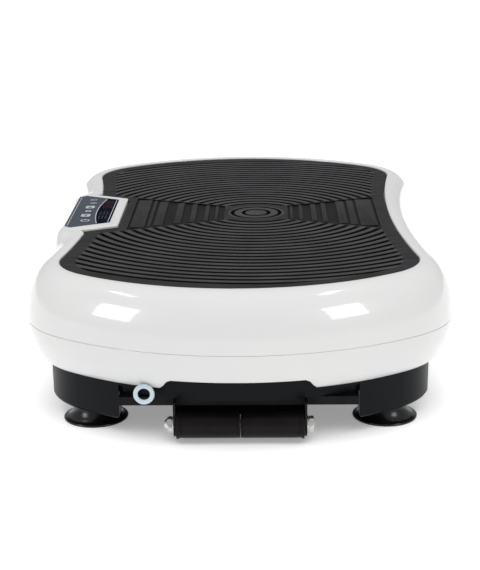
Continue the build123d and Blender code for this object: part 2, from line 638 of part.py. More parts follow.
def belt_face(gap):
    """Outline of the belt round both pulleys, gap outside their rims."""
    r1, r2 = CRANK_PULLEY_R + gap, MOTOR_PULLEY_R + gap
    dy, dz = MOTOR_Y - CRANK_Y, MOTOR_Z - CRANK_Z
    base = math.atan2(dz, dy)
    open_angle = math.acos((r1 - r2) / math.hypot(dy, dz))
    c1, c2 = (CRANK_Y, CRANK_Z), (MOTOR_Y, MOTOR_Z)

    def on(centre, radius, angle):
        return (centre[0] + radius * math.cos(angle), centre[1] + radius * math.sin(angle))

    upper, lower = base + open_angle, base - open_angle
    a, b = on(c1, r1, upper), on(c2, r2, upper)
    c, d = on(c2, r2, lower), on(c1, r1, lower)
    edges = [Line(a, b), ThreePointArc(b, on(c2, r2, base), c), Line(c, d),
             ThreePointArc(d, on(c1, r1, base + math.pi), a)]
    return make_face(edges)


def make_drive():
    """Motor, belt, crankshaft with two eccentrics, bearings, rods and their stands."""
    floor = BASE_UNDER_Z + BASE_WALL + CHASSIS_THICK
    eccentric_y = CRANK_Y + CRANK_THROW
    shaft = x_rod(CRANK_R, -72, BELT_X + 9, CRANK_Y, CRANK_Z)
    for side in (-1, 1):
        x = side * ROD_X
        shaft += x_rod(ECCENTRIC_R, x - 8, x + 8, eccentric_y, CRANK_Z)
        rod = x_rod(ROD_BIG_END_R, x - 7, x + 7, eccentric_y, CRANK_Z)
        rod += x_rod(13, x - 7, x + 7, eccentric_y, ROD_PIN_Z)
        rod += block(x - 7, x + 7, eccentric_y - 12, eccentric_y + 12, CRANK_Z, ROD_PIN_Z)
        rod -= x_rod(ROD_BEARING_R, x - 8, x + 8, eccentric_y, CRANK_Z)
        rod -= x_rod(ROD_EYE_R, x - 8, x + 8, eccentric_y, ROD_PIN_Z)
        bearing = x_rod(ROD_BEARING_R - PRESS_FIT, x - 7, x + 7, eccentric_y, CRANK_Z)
        bearing -= x_rod(ECCENTRIC_R + RUN_FIT, x - 8, x + 8, eccentric_y, CRANK_Z)
        name = "left" if side < 0 else "right"
        nodes["rod_" + name] = rod
        nodes["rod_bearing_" + name] = bearing
    nodes["crankshaft"] = shaft
    nodes["crank_pulley"] = pulley(CRANK_PULLEY_R, CRANK_Y, CRANK_Z, CRANK_R)
    blocks, bearings, pivots, bushes = [], [], [], []
    for side in (-1, 1):
        x = side * CRANK_BLOCK_X
        stand = block(x - 8, x + 8, CRANK_Y - 26, CRANK_Y + 26, floor, floor + 8)
        stand += block(x - 8, x + 8, CRANK_Y - 22, CRANK_Y + 22, floor, CRANK_Z)
        stand += x_rod(22, x - 8, x + 8, CRANK_Y, CRANK_Z)
        blocks.append(stand - x_rod(MAIN_BEARING_R, x - 9, x + 9, CRANK_Y, CRANK_Z))
        race = x_rod(MAIN_BEARING_R - PRESS_FIT, x - 6, x + 6, CRANK_Y, CRANK_Z)
        bearings.append(race - x_rod(CRANK_R + RUN_FIT, x - 9, x + 9, CRANK_Y, CRANK_Z))
        x = side * PIVOT_BLOCK_X
        stand = block(x - 9, x + 9, -32, 32, floor, floor + 8)
        stand += block(x - 9, x + 9, -18, 18, floor, PIVOT_Z)
        stand += x_rod(18, x - 9, x + 9, 0, PIVOT_Z)
        pivots.append(stand - x_rod(BUSH_R, x - 10, x + 10, 0, PIVOT_Z))
        bush = x_rod(BUSH_R - PRESS_FIT, x - 9, x + 9, 0, PIVOT_Z)
        bushes.append(bush - x_rod(PIVOT_R + RUN_FIT, x - 10, x + 10, 0, PIVOT_Z))
    nodes["crank_blocks"] = blocks
    nodes["crank_bearings"] = bearings
    nodes["pivot_blocks"] = pivots
    nodes["pivot_bushes"] = bushes
    band = belt_face(TOUCH_GAP + 2.2) - belt_face(TOUCH_GAP)
    plane = Plane.YZ.offset(BELT_X - BELT_WIDTH / 2)
    nodes["drive_belt"] = extrude(plane * band, BELT_WIDTH, dir=(1, 0, 0))
    make_motor(floor)


def make_motor(floor):
    """Brushed DC motor in two clamps: can, end bells, magnets, rotor and pulley."""
    can = x_rod(MOTOR_R, MOTOR_LOW_X, MOTOR_HIGH_X, MOTOR_Y, MOTOR_Z)
    can -= x_rod(MOTOR_R - MOTOR_WALL, MOTOR_LOW_X - 1, MOTOR_HIGH_X + 1, MOTOR_Y, MOTOR_Z)
    nodes["motor_can"] = can
    bells, clamps = [], []
    for low, high, boss_low, boss_high in (
            (MOTOR_LOW_X - 4, MOTOR_LOW_X, MOTOR_LOW_X - 8, MOTOR_LOW_X + 4),
            (MOTOR_HIGH_X, MOTOR_HIGH_X + 4, MOTOR_HIGH_X - 4, MOTOR_HIGH_X + 7)):
        bell = x_rod(MOTOR_R, low, high, MOTOR_Y, MOTOR_Z)
        bell += x_rod(9, boss_low, boss_high, MOTOR_Y, MOTOR_Z)
        bells.append(bell - x_rod(SHAFT_R + RUN_FIT, -100, 200, MOTOR_Y, MOTOR_Z))
    nodes["motor_end_bells"] = bells
    magnets = x_rod(MOTOR_R - MOTOR_WALL, MOTOR_LOW_X + 14, MOTOR_HIGH_X - 14, MOTOR_Y, MOTOR_Z)
    magnets -= x_rod(MAGNET_BORE_R, MOTOR_LOW_X, MOTOR_HIGH_X, MOTOR_Y, MOTOR_Z)
    magnets -= block(-50, 120, MOTOR_Y - 8, MOTOR_Y + 8, MOTOR_Z - 40, MOTOR_Z + 40)
    nodes["motor_magnets"] = magnets
    for x in CLAMP_PLACES:
        saddle = block(x - 6, x + 6, MOTOR_Y - 34, MOTOR_Y + 34, floor, floor + 5)
        saddle += block(x - 6, x + 6, MOTOR_Y - 26, MOTOR_Y + 26, floor, MOTOR_Z - 12)
        saddle += x_rod(MOTOR_R + 1.5, x - 6, x + 6, MOTOR_Y, MOTOR_Z)
        clamps.append(saddle - x_rod(MOTOR_R + PRESS_FIT, x - 7, x + 7, MOTOR_Y, MOTOR_Z))
    nodes["motor_clamps"] = clamps
    rotor = x_rod(SHAFT_R, MOTOR_LOW_X - 8, BELT_X + 7, MOTOR_Y, MOTOR_Z)
    rotor += x_rod(ROTOR_R, MOTOR_LOW_X + 14, MOTOR_HIGH_X - 14, MOTOR_Y, MOTOR_Z)
    nodes["motor_rotor"] = rotor + x_rod(10, MOTOR_LOW_X + 6, MOTOR_LOW_X + 14, MOTOR_Y, MOTOR_Z)
    nodes["motor_pulley"] = pulley(MOTOR_PULLEY_R, MOTOR_Y, MOTOR_Z, SHAFT_R)


# ---------------------------------------------------------------- power and control
def make_electrics():
    """Chassis plate, control board and its parts, mains inlet and rocker switch."""
    low = BASE_UNDER_Z + BASE_WALL
    floor = low + CHASSIS_THICK
    nodes["chassis_plate"] = (block(-128, 128, -200, 200, low, floor)
                              + block(-106, 106, -232, 232, low, floor))
    board_low = floor + 9
    nodes["control_board"] = block(-60, 60, -200, -110, board_low, board_low + BOARD_THICK)
    nodes["board_standoffs"] = [z_rod(3, floor, board_low, x, y)
                                for x in (-54, 54) for y in (-194, -116)]
    top = board_low + BOARD_THICK
    fins = block(-50, -10, -190, -160, top, top + 4)
    for k in range(6):
        fins += block(-50 + 7.6 * k, -48 + 7.6 * k, -190, -160, top + 4, top + 24)
    nodes["board_heatsink"] = fins
    nodes["board_capacitors"] = [z_rod(9, top, top + 28, x, -140) for x in (-40, -18)]
    nodes["power_transformer"] = (block(8, 52, -186, -142, top, top + 30)
                                  + block(4, 56, -176, -152, top + 5, top + 25))
    body = block(INLET_X - 13.5, INLET_X + 13.5, 285, 303, 44.5, 64.5)
    body += block(INLET_X - 15.5, INLET_X + 15.5, 304.3, 306.4, 42.2, 66.8)
    body += block(INLET_X - 13.5, INLET_X + 13.5, 302, 305, 44.5, 64.5)
    body -= block(INLET_X - 12, INLET_X + 12, 289, 320, 46.5, 62.5)
    for x, z in ((-7, 53), (0, 56.5), (7, 53)):
        body += block(INLET_X + x - 1, INLET_X + x + 1, 287, 297, z - 2, z + 2)
    nodes["mains_inlet"] = body
    frame = block(-INLET_X - 10.5, -INLET_X + 10.5, 286, 304, 47.5, 61.5)
    frame += block(-INLET_X - 12, -INLET_X + 12, 304.3, 306, 46, 63)
    frame -= block(-INLET_X - 9, -INLET_X + 9, 290, 320, 49, 60)
    frame -= z_rod(2 + RUN_FIT, 47.9, 61.1, -INLET_X, 298)
    nodes["switch_frame"] = frame
    rocker = z_rod(12, 49.4, 59.6, -INLET_X, 296)
    rocker &= block(-INLET_X - 8, -INLET_X + 8, 297, 330, 40, 70)
    nodes["switch_rocker"] = rocker + z_rod(2, 48.0, 61.0, -INLET_X, 298)


def make_fasteners():
    """Screws: the covers from below, the platform plate and the chassis."""
    chassis_top = BASE_UNDER_Z + BASE_WALL + CHASSIS_THICK
    places = [(x, y) for x in (-110, 110) for y in (-195, -60, 60, 195)]
    nodes["chassis_screws"] = [z_rod(4.5, chassis_top, chassis_top + 3, x, y) for x, y in places]
    low = TRAY_Z - COVER_WALL - PLATE_THICK
    places = [(x, y) for x in (-100, 100) for y in (-200, -50, 50, 200)]
    nodes["platform_screws"] = [z_rod(4.5, low - 3, low, x, y) for x, y in places]


def build():
    """Make every node and write one STEP file for each."""
    nodes["top_cover"] = make_top_cover()
    nodes["lower_cover"] = make_lower_cover()
    nodes["mat"] = make_mat()
    nodes["band_eyelets"] = make_eyelets()
    make_console()
    make_platform_frame()
    nodes["base_housing"] = make_base()
    make_feet()
    make_roller()
    make_drive()
    make_electrics()
    make_fasteners()
    os.makedirs("parts", exist_ok=True)
    for name, shape in nodes.items():
        if isinstance(shape, list):
            shape = Compound(children=shape)
        export_step(shape, f"parts/{name}.step")


build()
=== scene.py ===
import json
import math

import bmesh
import bpy
from mathutils import Matrix, Vector
from mathutils.geometry import delaunay_2d_cdt


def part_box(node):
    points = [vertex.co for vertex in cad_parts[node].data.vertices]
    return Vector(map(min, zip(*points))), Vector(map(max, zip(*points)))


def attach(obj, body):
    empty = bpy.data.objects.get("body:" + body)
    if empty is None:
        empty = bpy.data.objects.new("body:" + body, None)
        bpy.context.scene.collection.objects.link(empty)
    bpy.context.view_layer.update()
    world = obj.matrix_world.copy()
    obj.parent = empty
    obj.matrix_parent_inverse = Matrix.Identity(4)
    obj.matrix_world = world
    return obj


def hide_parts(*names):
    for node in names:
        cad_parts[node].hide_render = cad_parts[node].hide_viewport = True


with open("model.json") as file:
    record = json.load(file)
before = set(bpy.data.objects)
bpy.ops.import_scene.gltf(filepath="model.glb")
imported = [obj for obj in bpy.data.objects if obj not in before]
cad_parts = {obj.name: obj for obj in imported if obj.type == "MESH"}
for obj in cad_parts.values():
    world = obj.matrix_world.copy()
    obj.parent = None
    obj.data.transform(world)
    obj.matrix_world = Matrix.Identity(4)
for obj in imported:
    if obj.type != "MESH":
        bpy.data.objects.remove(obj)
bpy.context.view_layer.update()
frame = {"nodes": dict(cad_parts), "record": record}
MM = 0.001


def cad_box(node):
    """The two corners of a CAD node's box, in millimetres."""
    return [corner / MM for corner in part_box(node)]


# ------------------------------------------------------------------ sizes, in millimetres
# The outline is the mat's edge; everything round it is an offset from that outline.
MAT_LOW, MAT_HIGH = cad_box("mat")
MAT_HALF_LENGTH = MAT_HIGH.y
LOBE_HALF_WIDTH = MAT_HIGH.x
MAT_TOP = MAT_HIGH.z
TRAY_TOP = MAT_LOW.z
WAIST_HALF_WIDTH = 156.0
END_RADIUS = 236.0
CORNER_RADIUS = 66.0

COVER_LOW = cad_box("top_cover")[0]
SKIRT_LOW, SKIRT_HIGH = cad_box("lower_cover")
SEAM_Z = (COVER_LOW.z + SKIRT_HIGH.z) / 2
SEAM_HALF_GAP = 0.08                   # the covers nearly touch behind the seam's groove
SEAM_BEVEL = 0.28
SKIRT_EDGE_Z = SKIRT_LOW.z
RIM_CENTRE = 5.0
RIM_REACH = SKIRT_HIGH.x - LOBE_HALF_WIDTH - RIM_CENTRE
RIM_TOP = 144.8
SKIRT_DEPTH = 43.5
COVER_WALL = 3.0
SKIRT_WALL = 2.2
LIP_GAP = 0.8
NOTCH_LOW_HALF, NOTCH_TOP_HALF = 65.0, 54.5    # hand notch in the skirt at both ends
NOTCH_LOW_Z, NOTCH_TOP_Z = 55.0, 65.0

RING_CENTRE = Vector((15.0, 0.0))      # middle of the mat's ring pattern
CENTRE_RINGS = (13.7, 25.5)            # closed grooves
GROOVE_PITCH = 11.5
GROOVE_FIRST = 43.0
GROOVE_COUNT = 21
GROOVE_WIDTH = 5.4
GROOVE_DEPTH = 2.8
PAINTED_SHADE_DEPTH = 1.9                      # painted shade: the rubber's colour is darkest from this depth down
GROOVE_END = 5.0
BORDER = 14.0                          # smooth margin round the grooves
BAND_HALF = 31.0                       # the band across the middle, wider at the sides
BAND_START = 29.0
BAND_SLOPE = 0.42
BAND_DEPTH = 1.3
BAND_NEAR = 34.0
BAND_FAR = {1: 129.0, -1: 133.0}
BAR_END = 4.5
# nearest and farthest distance of each bar from the ring centre
BARS = {
    1: ((36.0, 40.0), (45.5, 50.5), (58.5, 65.0), (70.0, 76.0), (86.5, 96.5), (98.5, 106.5),
        (108.5, 127.0)),
    -1: ((40.5, 44.5), (50.5, 55.5), (64.0, 70.5), (78.5, 86.5), (97.0, 107.0),
         (109.5, 113.5), (115.5, 131.0)),
}

CONSOLE_LOW, CONSOLE_HIGH = cad_box("console_bezel")
CONSOLE_INNER = CONSOLE_HIGH.x
CONSOLE_TOP = CONSOLE_HIGH.z
BEZEL_LOW = CONSOLE_LOW.z
BEZEL_OUTER = CONSOLE_LOW.x
BEZEL_CUT = -172.0                     # the bezel's outer corners are cut from here
BEZEL_OUTER_HALF = 76.0
SHOULDER_HALF = 72.0                   # the rim is square beside the console up to here
SHOULDER_END = 112.0                   # and round again from here
SHOULDER_POWER = 8.0
PANEL_LOW, PANEL_HIGH = cad_box("key_sheet")
PANEL_INNER = -138.0                   # the printed sheet let into the bezel
PANEL_OUTER = PANEL_LOW.x
PANEL_INNER_HALF = 53.0
PANEL_OUTER_HALF = 74.0
PANEL_CUT = 7.0
PANEL_SHIFT = 3.0
WINDOW_ARC_X = -156.5                  # the display window ends in an arc
WINDOW_ARC_R = 306.0
WINDOW_FAR_X = -60.0
PANEL_TOP = PANEL_HIGH.z
CONSOLE_OUTER = -190.0                 # where the trapezoid has its outer half length
CONSOLE_INNER_HALF = 61.0
CONSOLE_OUTER_HALF = 94.0
CONSOLE_SLOPE = (CONSOLE_OUTER_HALF - CONSOLE_INNER_HALF) / (CONSOLE_INNER - CONSOLE_OUTER)
CONSOLE_SLANT = math.hypot(1, CONSOLE_SLOPE)
EAR_TIP = Vector((-154.0, 101.0))      # the mat's small ears beside the console
EAR_APEX = Vector((-163.5, 81.0))
EAR_BACK = Vector((-146.0, 70.0))
KEYS = ("speed_down", "speed_up", "start", "power", "mode", "timer")
LONG_KEYS = KEYS[:2]
PRINT_LOW = PANEL_TOP - 0.05
PRINT_HIGH = PANEL_TOP + 0.06


# ------------------------------------------------------------------ materials
def add_noise(material, scale, detail, stretch=(1, 1, 1)):
    """A noise texture in object space, in cycles per metre."""
    tree = material.node_tree
    coords = tree.nodes.new("ShaderNodeTexCoord")
    mapping = tree.nodes.new("ShaderNodeMapping")
    mapping.inputs["Scale"].default_value = stretch
    noise = tree.nodes.new("ShaderNodeTexNoise")
    noise.inputs["Scale"].default_value = scale
    noise.inputs["Detail"].default_value = detail
    tree.links.new(coords.outputs["Object"], mapping.inputs["Vector"])
    tree.links.new(mapping.outputs["Vector"], noise.inputs["Vector"])
    return noise.outputs["Fac"]


def add_ramp(material, source, low, high):
    """A colour that runs from low to high with the source."""
    ramp = material.node_tree.nodes.new("ShaderNodeValToRGB")
    for element, position, colour in zip(ramp.color_ramp.elements, (0.35, 0.65), (low, high)):
        element.position = position
        element.color = (*colour, 1.0)
    material.node_tree.links.new(source, ramp.inputs["Fac"])
    return ramp.outputs["Color"]


def add_bump(material, shader, source, strength, distance):
    """Fine relief on the shader's normal."""
    bump = material.node_tree.nodes.new("ShaderNodeBump")
    bump.inputs["Strength"].default_value = strength
    bump.inputs["Distance"].default_value = distance
    material.node_tree.links.new(source, bump.inputs["Height"])
    material.node_tree.links.new(bump.outputs["Normal"], shader.inputs["Normal"])


def add_range(material, source, span, low=0.0, high=1.0):
    """A number that runs from low to high while the source runs over its span."""
    node = material.node_tree.nodes.new("ShaderNodeMapRange")
    values = {"From Min": span[0], "From Max": span[1], "To Min": low, "To Max": high}
    for socket, value in values.items():
        node.inputs[socket].default_value = value
    material.node_tree.links.new(source, node.inputs["Value"])
    return node.outputs["Result"]


def surface(name, dark, light, roughness, spread, blotch, grain, relief=0.15, depth=0.0002,
            stretch=(1, 1, 1), metallic=0.0, coat=0.0, specular=0.5, ior=1.5, glow=0.0):
    """A moulded, painted or machined finish: cloudy colour, uneven gloss and fine grain."""
    material = bpy.data.materials.new(name)
    material.use_nodes = True
    tree = material.node_tree
    shader = tree.nodes["Principled BSDF"]
    values = {"Roughness": roughness, "Metallic": metallic, "Coat Weight": coat,
              "Coat Roughness": 0.06, "Specular IOR Level": specular, "IOR": ior,
              "Emission Color": (1, 1, 1, 1), "Emission Strength": glow}
    for socket, value in values.items():
        shader.inputs[socket].default_value = value
    cloud = add_noise(material, blotch, 4.0)
    tree.links.new(add_ramp(material, cloud, dark, light), shader.inputs["Base Color"])
    fine = add_noise(material, grain, 2.0, stretch)
    rough = add_range(material, fine, (0.3, 0.7), roughness - spread, roughness + spread)
    tree.links.new(rough, shader.inputs["Roughness"])
    add_bump(material, shader, fine, relief, depth)
    return material


# dark and light colour, roughness and its spread, then the rest by name;
# an ior near 1 keeps the display from mirroring the studio
FINISHES = {
    "white_shell": ((0.625, 0.63, 0.625), (0.65, 0.655, 0.645), 0.36, 0.04,
        dict(coat=0.8, specular=0.3, blotch=6.0, grain=260.0, relief=0.02)),
    "mat_rubber": ((0.012, 0.012, 0.013), (0.019, 0.019, 0.021), 0.55, 0.08,
        dict(specular=0.08, blotch=30.0, grain=1500.0, relief=0.35)),
    # painted sheen: a lighter, glossier copy of mat_rubber for the grooved fields, standing in for
    # light caught by the rounded ridges
    "mat_ridges_painted_sheen": ((0.030, 0.030, 0.032), (0.042, 0.042, 0.044), 0.55, 0.08,
        dict(specular=0.16, blotch=30.0, grain=1500.0, relief=0.35)),
    "base_black": ((0.003, 0.004, 0.005), (0.005, 0.006, 0.008), 0.36, 0.05,
        dict(specular=0.09, blotch=12.0, grain=1100.0, relief=0.12)),
    "cup_rubber": ((0.004, 0.004, 0.005), (0.006, 0.006, 0.007), 0.24, 0.05,
        dict(specular=0.4, blotch=40.0, grain=700.0, relief=0.06)),
    "zinc": ((0.52, 0.53, 0.53), (0.72, 0.72, 0.70), 0.30, 0.10,
        dict(metallic=1.0, blotch=160.0, grain=900.0, relief=0.10)),
    "black_steel": ((0.003, 0.003, 0.004), (0.006, 0.006, 0.007), 0.42, 0.08,
        dict(specular=0.12, blotch=60.0, grain=1400.0, relief=0.25)),
    "roller_black": ((0.004, 0.003, 0.003), (0.007, 0.006, 0.006), 0.36, 0.06,
        dict(specular=0.12, blotch=50.0, grain=1000.0, relief=0.12, stretch=(0.05, 1, 1))),
    "eyelet_grey": ((0.46, 0.55, 0.60), (0.52, 0.61, 0.66), 0.40, 0.06,
        dict(blotch=80.0, grain=900.0, relief=0.08)),
    "plate_steel": ((0.20, 0.21, 0.23), (0.28, 0.29, 0.31), 0.48, 0.08,
        dict(blotch=20.0, grain=1200.0, relief=0.2)),
    "bright_steel": ((0.55, 0.55, 0.56), (0.66, 0.66, 0.67), 0.22, 0.06,
        dict(metallic=1.0, blotch=70.0, grain=1500.0, stretch=(0.1, 1, 1))),
    "bearing_steel": ((0.64, 0.65, 0.66), (0.72, 0.72, 0.73), 0.12, 0.04,
        dict(metallic=1.0, blotch=90.0, grain=1500.0, relief=0.05)),
    "bronze": ((0.45, 0.28, 0.12), (0.60, 0.40, 0.18), 0.38, 0.08,
        dict(metallic=1.0, blotch=120.0, grain=2000.0, relief=0.2)),
    "cast_block": ((0.12, 0.13, 0.14), (0.19, 0.20, 0.21), 0.60, 0.10,
        dict(blotch=60.0, grain=800.0, relief=0.5, depth=0.0004)),
    "alloy": ((0.60, 0.61, 0.63), (0.72, 0.73, 0.75), 0.36, 0.08,
        dict(metallic=1.0, blotch=80.0, grain=1100.0, relief=0.15)),
    "motor_black": ((0.030, 0.030, 0.035), (0.05, 0.05, 0.055), 0.36, 0.06,
        dict(blotch=50.0, grain=900.0, relief=0.12)),
    "ferrite": ((0.07, 0.07, 0.075), (0.11, 0.11, 0.12), 0.7, 0.08,
        dict(blotch=90.0, grain=1500.0, relief=0.3)),
    "belt_rubber": ((0.018, 0.018, 0.019), (0.03, 0.03, 0.031), 0.66, 0.08,
        dict(blotch=70.0, grain=1400.0, relief=0.4)),
    "board_green": ((0.008, 0.09, 0.04), (0.015, 0.14, 0.065), 0.30, 0.05,
        dict(coat=0.4, blotch=150.0, grain=900.0, relief=0.1)),
    "capacitor_sleeve": ((0.012, 0.02, 0.06), (0.02, 0.03, 0.09), 0.3, 0.05,
        dict(blotch=60.0, grain=900.0, relief=0.08)),
    "transformer_core": ((0.16, 0.12, 0.04), (0.26, 0.20, 0.07), 0.4, 0.08,
        dict(blotch=60.0, grain=2600.0, relief=0.4, stretch=(0.02, 0.02, 1))),
    "inlet_black": ((0.016, 0.016, 0.017), (0.024, 0.024, 0.025), 0.45, 0.06,
        dict(blotch=60.0, grain=1300.0, relief=0.2)),
    "panel_blue": ((0.020, 0.027, 0.040), (0.027, 0.036, 0.052), 0.30, 0.04,
        dict(specular=0.06, blotch=40.0, grain=1200.0, relief=0.05)),
    "window_dark": ((0.003, 0.004, 0.009), (0.005, 0.007, 0.013), 0.14, 0.03,
        dict(specular=0.06, blotch=40.0, grain=1200.0, relief=0.03, ior=1.03)),
    "key_film": ((0.045, 0.060, 0.090), (0.056, 0.072, 0.105), 0.32, 0.04,
        dict(specular=0.06, blotch=60.0, grain=1200.0, relief=0.05)),
    "led_module": ((0.02, 0.012, 0.012), (0.03, 0.016, 0.016), 0.5, 0.06,
        dict(blotch=60.0, grain=1200.0, relief=0.1)),
    "print_pale": ((0.36, 0.38, 0.42), (0.44, 0.46, 0.50), 0.35, 0.05,
        dict(blotch=90.0, grain=1500.0, relief=0.05)),
    "print_dim": ((0.045, 0.055, 0.080), (0.065, 0.075, 0.10), 0.35, 0.05,
        dict(blotch=90.0, grain=1500.0, relief=0.05, ior=1.03)),
    "digit_red": ((0.050, 0.010, 0.020), (0.075, 0.016, 0.030), 0.25, 0.05,
        dict(blotch=90.0, grain=1500.0, relief=0.05, ior=1.03)),
    "floor": ((0.93, 0.93, 0.93), (0.95, 0.95, 0.95), 0.75, 0.05,
        dict(specular=0.2, blotch=1.5, grain=120.0, relief=0.02, glow=0.28)),
}
MATERIALS = {name: surface(name, *values, **rest) for name, (*values, rest) in FINISHES.items()}


def paint_groove_shade(material):
    """Painted shade: the rubber is coloured darker and duller on the walls and floors of the
    grooves, and on faces that do not face up, than on the ridges.
    """
    tree = material.node_tree
    shader = tree.nodes["Principled BSDF"]
    colour, gloss = shader.inputs["Base Color"], shader.inputs["Specular IOR Level"]
    cloudy = colour.links[0].from_socket
    coords = tree.nodes.new("ShaderNodeTexCoord")
    # painted shade mask: 1 keeps the rubber's own colour on the ridge tops; it falls with depth
    # below the top and on faces that do not face up
    painted_lit_share = tree.nodes.new("ShaderNodeMath")
    painted_lit_share.operation = "MULTIPLY"
    height_span = ((MAT_TOP - PAINTED_SHADE_DEPTH) * MM, (MAT_TOP - 0.02) * MM)
    for number, (kind, span) in enumerate((("Object", height_span), ("Normal", (0.3, 0.95)))):
        split = tree.nodes.new("ShaderNodeSeparateXYZ")
        tree.links.new(coords.outputs[kind], split.inputs["Vector"])
        tree.links.new(add_range(material, split.outputs["Z"], span), painted_lit_share.inputs[number])
    blend = tree.nodes.new("ShaderNodeMix")
    blend.data_type = "RGBA"
    # painted shade: the near-black colour given to groove walls and floors and to faces turned from
    # up
    blend.inputs["A"].default_value = (0.004, 0.004, 0.005, 1)
    tree.links.new(cloudy, blend.inputs["B"])
    tree.links.new(painted_lit_share.outputs["Value"], blend.inputs["Factor"])
    tree.links.new(blend.outputs["Result"], colour)
    # the gloss is lowered by the same painted-shade mask
    sheen = add_range(material, painted_lit_share.outputs["Value"], (0, 1), 0.02, gloss.default_value)
    tree.links.new(sheen, gloss)


# painted shade in the grooves of both rubbers
paint_groove_shade(MATERIALS["mat_rubber"])
paint_groove_shade(MATERIALS["mat_ridges_painted_sheen"])

for subpart in frame["record"]["subparts"]:
    cad = frame["nodes"][subpart["node"]]
    cad.data.materials.clear()
    cad.data.materials.append(MATERIALS[subpart["material_slot"]])
    cad.data.shade_smooth()
    cad.data.set_sharp_from_angle(angle=math.radians(32))


# ------------------------------------------------------------------ mesh helpers
def make_object(name, points, faces, material, smooth_angle=35.0):
    """A mesh object from points in millimetres."""
    mesh = bpy.data.meshes.new(name)
    mesh.from_pydata([Vector(p) * MM for p in points], [], faces)
    mesh.validate()
    mesh.materials.append(MATERIALS[material])
    piece = bpy.data.objects.new(name, mesh)
    bpy.context.scene.collection.objects.link(piece)
    finish_mesh(piece, smooth_angle)
    return piece


def finish_mesh(piece, smooth_angle=35.0):
    """Outward normals, and smooth shading that breaks at sharp edges."""
    mesh = bmesh.new()
    mesh.from_mesh(piece.data)
    bmesh.ops.remove_doubles(mesh, verts=mesh.verts, dist=1e-7)
    bmesh.ops.recalc_face_normals(mesh, faces=mesh.faces)
    mesh.to_mesh(piece.data)
    mesh.free()
    piece.data.shade_smooth()
    piece.data.set_sharp_from_angle(angle=math.radians(smooth_angle))


def smooth(share):
    """A step from 0 to 1 that starts and ends gently."""
    share = min(1.0, max(0.0, share))
    return share * share * (3 - 2 * share)


def apply_modifiers(piece):
    """Turn a piece's modifiers into its mesh."""
    graph = bpy.context.evaluated_depsgraph_get()
    mesh = bpy.data.meshes.new_from_object(piece.evaluated_get(graph))
    piece.modifiers.clear()
    piece.data = mesh


def cut(piece, cutter, operation="DIFFERENCE"):
    """Subtract a cutter from a piece, or keep what they share, and remove the cutter."""
    modifier = piece.modifiers.new("cut", "BOOLEAN")
    modifier.operation = operation
    modifier.solver = "EXACT"
    modifier.object = cutter
    apply_modifiers(piece)
    bpy.data.objects.remove(cutter)


def bevel(piece, width, segments):
    """Round a piece's sharp edges; width is in millimetres."""
    modifier = piece.modifiers.new("bevel", "BEVEL")
    modifier.width = width * MM
    modifier.segments = segments
    modifier.limit_method = "ANGLE"
    modifier.angle_limit = math.radians(50)
    apply_modifiers(piece)
    finish_mesh(piece)


def grid_faces(rows, columns, close_rows=True, close_columns=True, first=0):
    """Quads of a grid whose point index is first + row * columns + column."""
    faces = []
    for i in range(rows if close_rows else rows - 1):
        for j in range(columns if close_columns else columns - 1):
            a, b = first + i * columns, first + (i + 1) % rows * columns
            m = (j + 1) % columns
            faces.append((a + j, a + m, b + m, b + j))
    return faces


def prism(plan, low, high):
    """Points and faces of a plan polygon between two heights."""
    count = len(plan)
    points = [(x, y, low) for x, y in plan] + [(x, y, high) for x, y in plan]
    sides = [(i, (i + 1) % count, count + (i + 1) % count, count + i) for i in range(count)]
    return points, [tuple(reversed(range(count))), tuple(range(count, 2 * count))] + sides


def lathe(name, profile, material, place, axis="Z", segments=64):
    """A closed profile of (radius, height) turned round an axis through place."""
    turn = {"Z": Matrix.Identity(3), "X": Matrix.Rotation(math.pi / 2, 3, "Y"),
            "Y": Matrix.Rotation(math.pi / 2, 3, "X")}[axis]
    points = []
    for i in range(segments):
        angle = 2 * math.pi * i / segments
        for radius, height in profile:
            local = Vector((radius * math.cos(angle), radius * math.sin(angle), height))
            points.append(turn @ local + Vector(place))
    return make_object(name, points, grid_faces(segments, len(profile)), material)


# ------------------------------------------------------------------ outline of the object
def corner_arcs():
    """Centre of the +X +Y corner arc, and the radius of the hollow side arc."""
    x = LOBE_HALF_WIDTH - CORNER_RADIUS
    end_y = MAT_HALF_LENGTH - END_RADIUS
    y = end_y + math.sqrt((END_RADIUS - CORNER_RADIUS) ** 2 - x ** 2)
    inward = WAIST_HALF_WIDTH - x
    side = (inward ** 2 + y ** 2 - CORNER_RADIUS ** 2) / (2 * (CORNER_RADIUS - inward))
    return Vector((x, y)), side


CORNER, SIDE_RADIUS = corner_arcs()
END_CENTRE = Vector((0, MAT_HALF_LENGTH - END_RADIUS))
SIDE_CENTRE = Vector((WAIST_HALF_WIDTH + SIDE_RADIUS, 0))
END_ANGLE = math.atan2(CORNER.x, CORNER.y - END_CENTRE.y)
SIDE_ANGLE = math.atan2(SIDE_CENTRE.x - CORNER.x, -CORNER.y)


